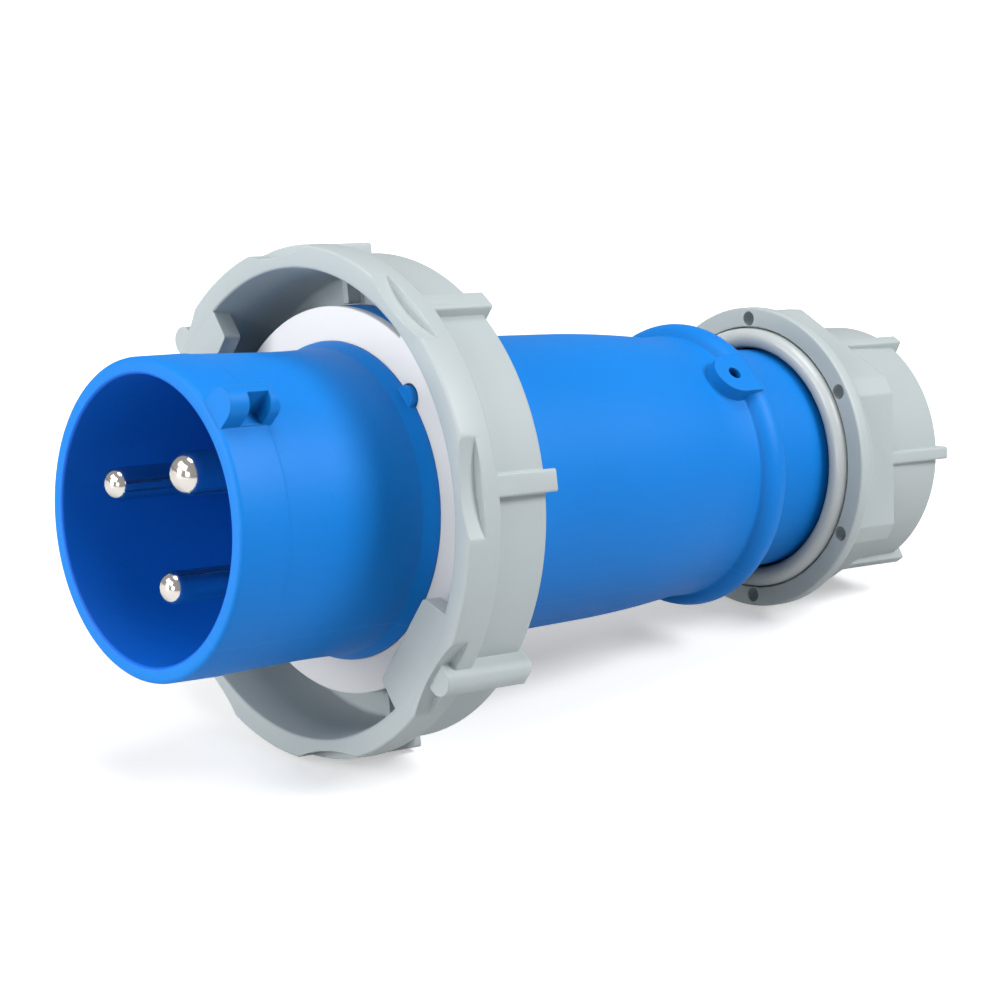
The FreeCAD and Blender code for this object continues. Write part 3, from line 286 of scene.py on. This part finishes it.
def colour_mix(tree, first, second, share):
    """Mixes two colours, each of them fixed or from another node."""
    made = node(tree, "ShaderNodeMix", data_type="RGBA")
    for socket, colour in (("A", first), ("B", second)):
        if isinstance(colour, tuple):
            made.inputs[socket].default_value = (*colour, 1.0)
        else:
            tree.links.new(colour, made.inputs[socket])
    tree.links.new(share, made.inputs["Factor"])
    return made.outputs["Result"]


def new_material(name):
    made = bpy.data.materials.new(name)
    made.use_nodes = True
    return made, made.node_tree, made.node_tree.nodes["Principled BSDF"]


def noise(tree, place, scale, detail=2.0, rough=0.5):
    made = node(tree, "ShaderNodeTexNoise")
    tree.links.new(place, made.inputs["Vector"])
    if isinstance(scale, (int, float)):
        made.inputs["Scale"].default_value = scale
    else:
        tree.links.new(scale, made.inputs["Scale"])
    made.inputs["Detail"].default_value = detail
    made.inputs["Roughness"].default_value = rough
    return made.outputs["Fac"]


# %% Moulded skin
moulded, entry, leave = new_group(
    "moulded skin",
    (("Grain size", "NodeSocketFloat", 3200.0), ("Grain depth", "NodeSocketFloat", 0.02),
     ("Wave depth", "NodeSocketFloat", 0.1), ("Edge radius", "NodeSocketFloat", 0.0004)),
    (("Mottle", "NodeSocketFloat"), ("Edge", "NodeSocketFloat"), ("Roughness", "NodeSocketFloat"),
     ("Normal", "NodeSocketVector"), ("Seam", "NodeSocketFloat"), ("Inside", "NodeSocketFloat")))
place = node(moulded, "ShaderNodeTexCoord").outputs["Object"]
grain = noise(moulded, place, entry.outputs["Grain size"], 3.0, 0.6)
wave = noise(moulded, place, 60.0, 2.0, 0.5)
cloud = noise(moulded, place, 24.0, 3.0, 0.55)
bevel = node(moulded, "ShaderNodeBevel", samples=6)
moulded.links.new(entry.outputs["Edge radius"], bevel.inputs["Radius"])
wavy = node(moulded, "ShaderNodeBump")
wavy.inputs["Distance"].default_value = 0.0012
moulded.links.new(entry.outputs["Wave depth"], wavy.inputs["Strength"])
moulded.links.new(wave, wavy.inputs["Height"])
moulded.links.new(bevel.outputs["Normal"], wavy.inputs["Normal"])
grainy = node(moulded, "ShaderNodeBump")
grainy.inputs["Distance"].default_value = 0.0002
moulded.links.new(entry.outputs["Grain depth"], grainy.inputs["Strength"])
moulded.links.new(grain, grainy.inputs["Height"])
moulded.links.new(wavy.outputs["Normal"], grainy.inputs["Normal"])
moulded.links.new(grainy.outputs["Normal"], leave.inputs["Normal"])
# The edge mask below marks where the plastics paint a lighter colour as a highlight.
shape = node(moulded, "ShaderNodeNewGeometry")
dot = node(moulded, "ShaderNodeVectorMath", operation="DOT_PRODUCT")
moulded.links.new(bevel.outputs["Normal"], dot.inputs[0])
moulded.links.new(shape.outputs["Normal"], dot.inputs[1])
bent = maths(moulded, "SUBTRACT", 1.0, dot.outputs["Value"])
moulded.links.new(maths(moulded, "MULTIPLY", bent, 6.0, clamp=True), leave.inputs["Edge"])
moulded.links.new(cloud, leave.inputs["Mottle"])
moulded.links.new(maths(moulded, "MULTIPLY", grain, 0.12), leave.inputs["Roughness"])

# %% [markdown]
# ## Parting line, and painted shade inside the mouth
#
# A mould opens along a plane through the axis and leaves a fine line there on both sides. The plane's
# angle is a value of this object, so the group measures how far each point is from that plane. In the
# same way it finds the inside of the mouth, where the blue is painted darker as shade, since little
# light gets in there.


# %% Where a point lies on the plug
def along(direction):
    """How far a point lies in a direction that is given in the plug's own axes."""
    made = node(moulded, "ShaderNodeVectorMath", operation="DOT_PRODUCT")
    moulded.links.new(place, made.inputs[0])
    made.inputs[1].default_value = lay_down.to_3x3() @ Vector(direction)
    return made.outputs["Value"]


station = along((1, 0, 0))
across = maths(moulded, "POWER", along((0, 1, 0)), 2.0)
upwards = maths(moulded, "POWER", along((0, 0, 1)), 2.0)
from_axis = maths(moulded, "SQRT", maths(moulded, "ADD", across, upwards))
# painted shade: these masks find the bore inside the mouth, where the blue is painted darker
in_bore = maths(moulded, "LESS_THAN", from_axis, 0.0262)
in_mouth = maths(moulded, "LESS_THAN", station, 0.0385)
moulded.links.new(maths(moulded, "MULTIPLY", in_bore, in_mouth), leave.inputs["Inside"])
seam_angle = math.radians(key_angle - 90.0)
off_plane = along((0, -math.sin(seam_angle), math.cos(seam_angle)))
on_line = maths(moulded, "LESS_THAN", maths(moulded, "ABSOLUTE", off_plane), 0.00012)
outside = maths(moulded, "GREATER_THAN", from_axis, 0.0215)
moulded.links.new(maths(moulded, "MULTIPLY", on_line, outside), leave.inputs["Seam"])
print("node groups:", [group.name for group in bpy.data.node_groups])


# %% [markdown]
# ## Plastic
#
# The plastics differ only in colour, gloss and grain, so one function makes them. Two close colours
# are mixed with the slow cloud pattern. A third, lighter one is painted on the edges as a highlight,
# for the thin bright lines where the light grey mouldings catch the light, and it also draws the
# parting line.

# %% Plastics
def plastic(name, dark, light, edge_highlight_and_seam, edge_highlight_share, rough, size=3200.0, depth=0.02, coat=0.0,
            specular=0.5, bounce=None, bore_shade_colour=None, line=0.0):
    material, tree, shader = new_material(name)
    skin = node(tree, "ShaderNodeGroup", node_tree=moulded)
    skin.inputs["Grain size"].default_value = size
    skin.inputs["Grain depth"].default_value = depth
    tone = colour_mix(tree, dark, light, skin.outputs["Mottle"])
    # painted highlight: the edges are mixed towards a lighter colour, as if they caught the light
    tone = colour_mix(tree, tone, edge_highlight_and_seam, maths(tree, "MULTIPLY", skin.outputs["Edge"], edge_highlight_share))
    # the parting line is drawn in the same lighter colour
    tone = colour_mix(tree, tone, edge_highlight_and_seam, maths(tree, "MULTIPLY", skin.outputs["Seam"], line))
    # painted shade: a darker colour is painted inside the bore, where little light gets in
    if bore_shade_colour:
        tone = colour_mix(tree, tone, bore_shade_colour, skin.outputs["Inside"])
    path = node(tree, "ShaderNodeLightPath")
    tone = colour_mix(tree, tone, bounce or light, path.outputs["Is Diffuse Ray"])
    tree.links.new(tone, shader.inputs["Base Color"])
    rough_here = maths(tree, "ADD", skin.outputs["Roughness"], rough - 0.06)
    tree.links.new(rough_here, shader.inputs["Roughness"])
    tree.links.new(skin.outputs["Normal"], shader.inputs["Normal"])
    shader.inputs["Coat Weight"].default_value = coat
    shader.inputs["Specular IOR Level"].default_value = specular
    return material


# The third colour of each plastic is painted on its edges as a highlight and also draws the parting
# line.
# painted shade: the blue's last and darkest colour is painted inside the bore
blue_plastic = plastic("blue polyamide", (0.0, 0.19, 0.66), (0.0, 0.22, 0.73),
                       (0.02, 0.32, 0.88), 0.35, 0.52, size=2600.0, depth=0.14, specular=0.26,
                       bounce=(0.03, 0.12, 0.28), bore_shade_colour=(0.0, 0.13, 0.68), line=0.35)
grey_plastic = plastic("light grey polyamide", (0.42, 0.475, 0.485), (0.475, 0.53, 0.54),
                       (0.74, 0.79, 0.80), 0.5, 0.46, depth=0.025)
slip_plastic = plastic("pale grey acetal", (0.56, 0.60, 0.60), (0.62, 0.66, 0.66),
                       (0.78, 0.80, 0.80), 0.3, 0.3, depth=0.012, coat=0.2)
carrier_plastic = plastic("dark grey polyamide", (0.16, 0.17, 0.18), (0.20, 0.21, 0.22),
                          (0.34, 0.35, 0.36), 0.4, 0.5, depth=0.03)
white_rubber = plastic("white rubber", (0.80, 0.80, 0.81), (0.86, 0.86, 0.87),
                       (0.93, 0.93, 0.93), 0.4, 0.6, size=2200.0, depth=0.03, specular=0.3)
black_rubber = plastic("black rubber", (0.018, 0.018, 0.019), (0.030, 0.030, 0.031),
                       (0.07, 0.07, 0.07), 0.4, 0.65, size=1800.0, depth=0.05, specular=0.35)

# %% [markdown]
# ## Metal
#
# The pins are turned brass with bright nickel plating: a mirror with very fine rings from the lathe
# tool round each pin, so the rings are drawn with a wave along the plug's axis. The hidden screws
# are zinc plated and duller, with the same group at a stronger value.

# %% Turned metal
turned, entry, leave = new_group(
    "turned metal",
    (("Rings", "NodeSocketFloat", 0.02), ("Smear", "NodeSocketFloat", 0.05)),
    (("Tarnish", "NodeSocketFloat"), ("Roughness", "NodeSocketFloat"), ("Normal", "NodeSocketVector")))
place = node(turned, "ShaderNodeTexCoord").outputs["Object"]
level = node(turned, "ShaderNodeMapping")
level.inputs["Rotation"].default_value = (0.0, slope, 0.0)
turned.links.new(place, level.inputs["Vector"])
rings = node(turned, "ShaderNodeTexWave", wave_type="BANDS", bands_direction="X")
rings.inputs["Scale"].default_value = 1400.0
rings.inputs["Distortion"].default_value = 1.5
rings.inputs["Detail"].default_value = 2.0
turned.links.new(level.outputs["Vector"], rings.inputs["Vector"])
smudge = noise(turned, place, 220.0, 4.0, 0.6)
bump = node(turned, "ShaderNodeBump")
bump.inputs["Distance"].default_value = 0.0001
turned.links.new(entry.outputs["Rings"], bump.inputs["Strength"])
turned.links.new(rings.outputs["Fac"], bump.inputs["Height"])
turned.links.new(bump.outputs["Normal"], leave.inputs["Normal"])
turned.links.new(smudge, leave.inputs["Tarnish"])
turned.links.new(maths(turned, "MULTIPLY", smudge, entry.outputs["Smear"]), leave.inputs["Roughness"])


def metal(name, dark, light, rough, rings_strength, smear):
    material, tree, shader = new_material(name)
    skin = node(tree, "ShaderNodeGroup", node_tree=turned)
    skin.inputs["Rings"].default_value = rings_strength
    skin.inputs["Smear"].default_value = smear
    tree.links.new(colour_mix(tree, dark, light, skin.outputs["Tarnish"]), shader.inputs["Base Color"])
    tree.links.new(maths(tree, "ADD", skin.outputs["Roughness"], rough), shader.inputs["Roughness"])
    tree.links.new(skin.outputs["Normal"], shader.inputs["Normal"])
    shader.inputs["Metallic"].default_value = 1.0
    return material


nickel = metal("bright nickel", (0.62, 0.59, 0.54), (0.74, 0.71, 0.66), 0.11, 0.02, 0.08)
brass = metal("plain brass", (0.62, 0.46, 0.20), (0.72, 0.55, 0.27), 0.25, 0.1, 0.2)
zinc = metal("zinc plated steel", (0.50, 0.51, 0.52), (0.62, 0.63, 0.64), 0.28, 0.2, 0.25)

# %% Finishes of the CAD nodes
finishes = {
    "contact_shroud": blue_plastic, "rear_housing": blue_plastic,
    "bayonet_ring": grey_plastic, "gland_nut": grey_plastic, "gland_slip_ring": slip_plastic,
    "face_gasket": white_rubber, "live_pin": nickel, "neutral_pin": nickel, "earth_pin": nickel,
    "pin_retainer": carrier_plastic, "clamp_cage": carrier_plastic, "friction_washer": slip_plastic,
    "spigot_seal": black_rubber, "insert_screw_seals": black_rubber, "gland_seal": black_rubber,
    "retainer_screws": zinc, "insert_screws": zinc, "power_terminal_screws": zinc,
    "earth_terminal_screw": zinc, "power_wire_clamps": brass, "earth_wire_clamp": brass,
}
for name, material in finishes.items():
    mesh = nodes[name].data
    mesh.materials.clear()
    mesh.materials.append(material)
print("finished", len(finishes), "of", len(nodes), "nodes")

# %% [markdown]
# ## Contact shroud
#
# The shroud is one blue moulding: a tube with a rounded rim, a floor that carries the pins, and
# behind it a spigot that goes into the handle. It is drawn as half a section and spun round. The
# thin step behind the rim, where the mould changes, is only a tenth of a millimetre high, but it
# draws the fine line that runs round the real one.

# %% Shroud body
shroud = spun("shroud", (
    (38.0, 0), (38.0, 25.7), (0, 25.7), (0, 28.75), (10.2, 28.75), (10.2, 28.63), (34.0, 27.8),
    (40.0, 28.15), (42.6, 29.3), (43.5, 29.3), (43.5, 24.3), (62.0, 24.3), (62.0, 20.7), (46.0, 20.7),
    (46.0, 0)),
    {1: 1.0, 2: 0.55, 3: 0.9, 6: 8.0, 7: 1.6, 8: 0.25})
key = pushed("key", [(27.2, -3.15), (31.25, -3.15)] + disc_points(31.25, 0, 3.15, 17, -90, 180)[1:-1]
             + [(31.25, 3.15), (27.2, 3.15)], 0.5, 10.7, angle=key_angle)
join_in(key, spun("key end", [(9.2, 36.0), (9.2, 34.4)] + disc_points(9.2, 32.4, 2.0, 9, 90, -90)[1:]
                  + [(12.0, 32.4), (12.0, 36.0)], steps=128), "DIFFERENCE")
join_in(key, pushed("key notch", [(28.87, 0.25), (36, 0.25), (36, 5), (28.87, 5)], 4.5, 4.5,
                    {0: 0.3}, key_angle), "DIFFERENCE")
join_in(shroud, key)
nub = pushed("nub", disc_points(29.1, 0, 2.2, 33), 42.0, 3.15, angle=key_angle)
join_in(shroud, nub)


# %% Holes in the shroud's floor
def bored(name, angle, outwards, profile, steps=48):
    """A body of revolution about its own axis, beside the plug's axis."""
    part = spun(name, profile, steps=steps)
    part.matrix_world = around(angle) @ Matrix.Translation((0, outwards * MM, 0))
    pick(part)
    bpy.ops.object.transform_apply(location=True, rotation=True, scale=True)
    return part


pin_circle = 12.6
pins = (("live", 15.97, 3.0, 2.4), ("neutral", 236.77, 3.0, 2.4), ("earth", key_angle, 4.0, 2.9))
for name, angle, shank, wire in pins:
    join_in(shroud, bored("hole", angle, pin_circle, (
        (37.0, 0), (37.0, shank + 0.35), (43.0, shank + 0.35), (43.0, shank + 2.25),
        (47.0, shank + 2.25), (47.0, 0))), "DIFFERENCE")
for angle in (key_angle - 55.2, key_angle + 55.2, key_angle + 180.0):
    join_in(shroud, bored("recess", angle, 17.2, (
        (37.0, 0), (37.0, 3.45), (41.7, 3.45), (41.7, 2.05), (47.0, 2.05), (47.0, 0))), "DIFFERENCE")
finish_piece(shroud, "plug_body", ["contact_shroud"], blue_plastic)

# %% [markdown]
# ## Pins
#
# Each pin is turned from brass and plated. The end is a dome with a small flat in the middle, where
# the turning tool stopped. Smooth steps matter here, because a mirror shows every facet.

# %% Three pins
for name, angle, shank, wire in pins:
    bow = shank - 0.5
    dome = [(0.4 + bow - bow * math.cos(math.radians(turn)), 0.5 + bow * math.sin(math.radians(turn)))
            for turn in range(6, 90, 6)]
    pin = bored(name + " contact", angle, pin_circle, [(0.4, 0), (0.4, 0.5)] + dome + [
        (0.4 + bow, shank), (38.0, shank), (38.0, shank + 0.3), (43.0, shank + 0.3),
        (43.0, shank + 2.2), (46.0, shank + 2.2),
        (46.0, shank + 1.4), (60.5, shank + 1.4), (60.5, wire), (49.0, wire),
        (49.0 - wire / 2, 0)], 96)
    pin.name = name + "_contact"
    finish_piece(pin, "plug_body", [name + "_pin"], nickel, 40.0)

# %% [markdown]
# ## Face gasket
#
# A flat white washer against the handle's flange, with a shallow seat for the skirt of the shroud. A
# tab on its edge and a round notch for the nub keep it from turning. Its edges are a little round.

# %% Gasket
gasket = spun("gasket", ((43.5, 24.6), (43.5, 29.35), (43.2, 29.35), (43.2, 35.7), (45.2, 35.7),
                         (45.2, 24.6)), {3: 0.3, 4: 0.2})
tab = pushed("tab", [(34.7 * math.cos(math.radians(15)), -34.7 * math.sin(math.radians(15)))]
             + disc_points(0, 0, 37.3, 25, -15, 30)
             + [(34.7 * math.cos(math.radians(15)), 34.7 * math.sin(math.radians(15)))],
             43.2, 2.0, {1: 0.8, 25: 0.8}, key_angle)
join_in(gasket, tab)
join_in(gasket, pushed("notch", disc_points(29.1, 0, 2.5, 33), 42.0, 5.0, angle=key_angle), "DIFFERENCE")
finish_piece(gasket, "plug_body", ["face_gasket"], white_rubber)

# %% [markdown]
# ## Handle
#
# The handle starts with a flange and a seat for the ring, narrows in a slow curve to the collar and
# ends in a neck, which goes into the gland nut. The collar is a half round bead, and beside the key
# it carries a flat boss with a small hole.

# %% Handle body
grip = disc_points(89.78, -212.975, 241.06, 9, 88.52, -5.97)
collar = disc_points(130.6, 25.047, 3.353, 17, 162.6, -145.2)
handle = spun("handle", [
    (45.2, 24.6), (45.2, 35.3), (45.6, 35.7), (50.5, 35.7), (50.5, 30.05), (54.9, 30.05), (54.9, 31.2),
    (56.3, 31.2), (60.0, 28.9), (96.0, 28.0)] + grip[1:-1] + [(121.0, 26.05), (127.4, 26.05)]
    + collar[1:-1] + [(133.8, 26.05), (133.8, 22.2), (163.0, 22.2), (163.0, 17.8), (132.6, 17.8),
                      (121.2, 22.45), (96.0, 24.4), (62.3, 24.3), (62.3, 24.6)],
    {3: 0.4, 6: 0.3, 7: 0.6, 8: 2.4, 18: 0.3, 35: 0.4, 36: 0.4})
boss_round = disc_points(125.8, 0, 4.6, 33, 90, 180)
boss = draw_line("boss", boss_round + [(130.6, -4.6), (130.6, 4.6)])


def raised(part, low, height, angle):
    """Extrudes a plan outwards from the plug's axis: x is the station and y is sideways."""
    pick(part)
    bpy.ops.object.mode_set(mode="EDIT")
    bpy.ops.mesh.select_all(action="SELECT")
    bpy.ops.mesh.edge_face_add()
    bpy.ops.mesh.extrude_region_move(TRANSFORM_OT_translate={"value": (0, 0, height * MM)})
    bpy.ops.object.mode_set(mode="OBJECT")
    outward = Matrix(((1, 0, 0, 0), (0, 0, 1, 0), (0, -1, 0, 0), (0, 0, 0, 1)))
    part.matrix_world = around(angle) @ Matrix.Translation((0, low * MM, 0)) @ outward
    bpy.ops.object.transform_apply(location=True, rotation=True, scale=True)
    clean(part)
    return part


raised(boss, 24.3, 4.35, key_angle)
join_in(handle, boss)
hole = raised(draw_line("hole", disc_points(125.8, 0, 1.4, 25)), 24.15, 6.0, key_angle)
join_in(handle, hole, "DIFFERENCE")
finish_piece(handle, "plug_body", ["rear_housing"], blue_plastic)

# %% [markdown]
# ## Bayonet ring
#
# This piece takes the most work. A turned section gives the band, the wall and the floor behind it.
# Eight shallow scallops are cut into the front edge for the fingers, and a rib runs back from six of
# them. The other two carry a round backed lug, and under each lug a tab that reaches inwards, which
# is what catches the socket. Cuts and additions are made once and copied round.

# %% Ring body
ring = spun("coupling", (
    (34.7, 43.0), (34.7, 47.1), (42.0, 47.1), (42.0, 45.0), (54.6, 45.0), (54.6, 30.35), (50.8, 30.35),
    (50.8, 35.1), (52.8, 35.1), (52.8, 41.3), (39.9, 42.1)),
    {0: 0.45, 1: 0.45, 2: 0.6, 3: 0.4, 4: 0.9, 7: 0.4, 9: 0.8, 10: 2.0}, steps=256)
cuts = [pushed("scallop", disc_points(78.8, 0, 33.7, 181), 33.7, 4.5, angle=lug_angle + 45 * turn)
        for turn in range(8)]
for cut in cuts:
    join_in(ring, cut, "DIFFERENCE")
print("scallops:", len(cuts))
for turn in range(8):
    if turn in (0, 4):
        continue
    join_in(ring, pushed("rib", [(42.5, -2.05), (47.05, -2.05), (47.05, 2.05), (42.5, 2.05)], 41.0,
                         14.3, {1: 0.5, 2: 0.5}, lug_angle + 45 * turn))

# %% Lugs, tabs and webs
half = math.radians(15.5)    # half the width of a tab, seen from the axis
for turn in (0, 180):
    lug = pushed("lug", [(42.5, -2.65)] + disc_points(46.65, 0, 2.65, 25, -90, 180) + [(42.5, 2.65)],
                 35.7, 19.6, angle=lug_angle + turn)
    join_in(lug, spun("lug end", [(53.7, 51.0), (53.7, 49.3)]
                      + disc_points(53.7, 47.7, 1.6, 9, 90, -90)[1:]
                      + [(57.0, 47.7), (57.0, 51.0)], steps=128), "DIFFERENCE")
    join_in(ring, lug)
    join_in(ring, pushed("tab", [
        (35.7, -35.7 * math.tan(half)), (45.05 * math.cos(half), -45.05 * math.sin(half)),
        (45.05 * math.cos(half), 45.05 * math.sin(half)), (35.7, 35.7 * math.tan(half))],
        34.75, 3.65, {0: 0.6, 3: 0.6}, lug_angle + turn))
    join_in(ring, pushed("web", [(36.0, -0.7), (42.0, -0.7), (42.0, 0.7), (36.0, 0.7)], 49.8, 3.5,
                         {0: 0.3, 3: 0.3}, lug_angle + 45 + turn))
finish_piece(ring, "coupling_ring", ["bayonet_ring"], grey_plastic)

# %% [markdown]
# ## Gland nut and slip ring
#
# The nut is a flange with six blind holes, a cone, a hexagon with blunt corners, and a ribbed cap.
# The slip ring between nut and handle is a plain round ring with two small notches.

# %% Gland nut
nut = spun("gland", (
    (151.3, 26.9), (151.3, 30.8), (153.8, 30.8), (160.5, 25.6), (165.0, 25.9), (180.75, 25.3),
    (180.75, 11.0), (177.0, 11.0), (177.0, 22.6), (153.6, 22.6), (153.6, 26.9)),
    {0: 0.2, 1: 0.4, 2: 0.35, 5: 1.6, 6: 0.6})
blunt = (26.8 / math.cos(math.radians(30)) - 29.85) * math.tan(math.radians(60))
print("half the width of a blunt corner: %.2f mm" % blunt)
corners = []
for side in range(30, 390, 60):
    for sign in (-1, 1):
        corners.append(Matrix.Rotation(math.radians(side), 2) @ Vector((29.85, blunt * sign)))
hexagon = pushed("hexagon", [tuple(corner) for corner in corners], 153.75, 11.25,
                 {number: 0.35 for number in range(12)}, flat_angle)
join_in(hexagon, spun("room", ((150.0, 0), (150.0, 24.8), (170.0, 24.8), (170.0, 0)), steps=128),
        "DIFFERENCE")
join_in(nut, hexagon)
for turn in range(6):
    join_in(nut, pushed("rib", [(23.6, -1.25), (26.8, -1.25), (26.8, 1.25), (23.6, 1.25)], 164.0, 17.55,
                        {1: 0.4, 2: 0.4}, flat_angle + 60 * turn))
for turn in range(6):
    join_in(nut, bored("pit", flat_angle - 30 + 60 * turn, 28.5,
                       ((150.0, 0), (150.0, 1.5), (154.4, 1.5), (154.7, 0)), 32), "DIFFERENCE")
finish_piece(nut, "nut", ["gland_nut"], grey_plastic)

# %% Slip ring
slip = spun("slip_ring", disc_points(151.3, 24.6, 2.0, 29)[:-1])
for angle in (key_angle + 6.3, key_angle + 73.0):
    join_in(slip, pushed("notch", [(21.6, -0.8), (23.3, -0.8), (23.3, 0.8), (21.6, 0.8)], 148.3, 3.0,
                         {1: 0.2, 2: 0.2}, angle), "DIFFERENCE")
finish_piece(slip, "slip_ring", ["gland_slip_ring"], slip_plastic)

# %% [markdown]
# ## Table and light
#
# The photograph is a product shot on white, with only a faint shadow under the ring and the nut. The
# table is a matt white plane just under the plug. Four soft lamps stand in front of the mouth, one
# stands beside the gland nut and one hangs overhead. The camera sees pure white behind the table
# through Light Path, and shiny metal sees a part of it, so the lamps can stay at a level that keeps
# the gasket below pure white.

# %% Floor
floor_height = box_low[2]
bpy.ops.object.select_all(action="DESELECT")
bpy.ops.mesh.primitive_plane_add(size=8.0, location=(0, 0, floor_height))
floor = bpy.context.object
floor.name = "table"
material, tree, shader = new_material("white table")
shader.inputs["Roughness"].default_value = 0.9
shader.inputs["Specular IOR Level"].default_value = 0.1
cloud = noise(tree, node(tree, "ShaderNodeTexCoord").outputs["Object"], 3.0)
path = node(tree, "ShaderNodeLightPath")
tone = colour_mix(tree, (0.88, 0.88, 0.885), (0.90, 0.90, 0.905), cloud)
tone = colour_mix(tree, tone, (0.5, 0.5, 0.505), path.outputs["Is Diffuse Ray"])
tree.links.new(tone, shader.inputs["Base Color"])

# %% Glow of the floor, for the camera only
glow = node(tree, "ShaderNodeEmission")
glow.inputs["Color"].default_value = (1, 1, 1, 1)
away = node(tree, "ShaderNodeVectorMath", operation="LENGTH")
tree.links.new(node(tree, "ShaderNodeTexCoord").outputs["Object"], away.inputs[0])
fade = node(tree, "ShaderNodeMapRange")
fade.inputs["From Min"].default_value = 0.25
fade.inputs["From Max"].default_value = 1.0
fade.inputs["To Min"].default_value = 0.42
fade.inputs["To Max"].default_value = 1.0
tree.links.new(away.outputs["Value"], fade.inputs["Value"])
tree.links.new(maths(tree, "MULTIPLY", path.outputs["Is Camera Ray"], fade.outputs["Result"]),
               glow.inputs["Strength"])
both = node(tree, "ShaderNodeAddShader")
tree.links.new(shader.outputs["BSDF"], both.inputs[0])
tree.links.new(glow.outputs["Emission"], both.inputs[1])
tree.links.new(both.outputs["Shader"], tree.nodes["Material Output"].inputs["Surface"])
floor.data.materials.append(material)
print("the table lies at %.4f m" % floor_height)

# %% World
world = bpy.data.worlds.new("studio")
scene.world = world
world.use_nodes = True
tree = world.node_tree
ground = tree.nodes["Background"]
ground.inputs["Color"].default_value = (0.95, 0.97, 1.0, 1.0)
ground.inputs["Strength"].default_value = 0.05
white = node(tree, "ShaderNodeBackground")
white.inputs["Color"].default_value = (1, 1, 1, 1)
white.inputs["Strength"].default_value = 1.0
path = node(tree, "ShaderNodeLightPath")
blend = node(tree, "ShaderNodeMixShader")
seen = maths(tree, "ADD", path.outputs["Is Camera Ray"],
             maths(tree, "MULTIPLY", path.outputs["Is Glossy Ray"], 0.4), clamp=True)
tree.links.new(seen, blend.inputs["Fac"])
tree.links.new(ground.outputs["Background"], blend.inputs[1])
tree.links.new(white.outputs["Background"], blend.inputs[2])
tree.links.new(blend.outputs["Shader"], tree.nodes["World Output"].inputs["Surface"])
print("world strength:", ground.inputs["Strength"].default_value)


# %% Lamps
def lamp(name, where, aim, width, height, power, colour=(1, 1, 1)):
    data = bpy.data.lights.new(name, "AREA")
    data.shape = "RECTANGLE"
    data.size = width
    data.size_y = height
    data.energy = power
    data.color = colour
    made = bpy.data.objects.new(name, data)
    scene.collection.objects.link(made)
    made.location = where
    made.rotation_euler = (Vector(aim) - Vector(where)).to_track_quat("-Z", "Y").to_euler()
    return made


middle = (-0.09, 0.0, 0.0)
lamp("softbox left of the mouth", (0.85, -0.40, 0.14), (0, 0, 0), 0.3, 0.3, 3.7)
lamp("softbox above the mouth, left", (0.65, -0.45, 0.55), (0, 0, 0), 0.35, 0.35, 2.3)
lamp("softbox right of the mouth", (0.85, 0.40, 0.20), (0, 0, 0), 0.3, 0.3, 1.7)
lamp("softbox above the mouth", (0.75, 0.0, 0.55), (0, 0, 0), 0.35, 0.35, 2.8)
lamp("softbox beside the gland", (-0.45, 0.62, 0.62), middle, 0.4, 0.4, 7.6)
lamp("overhead softbox", (-0.05, 0.0, 0.95), middle, 0.5, 0.5, 4.0)
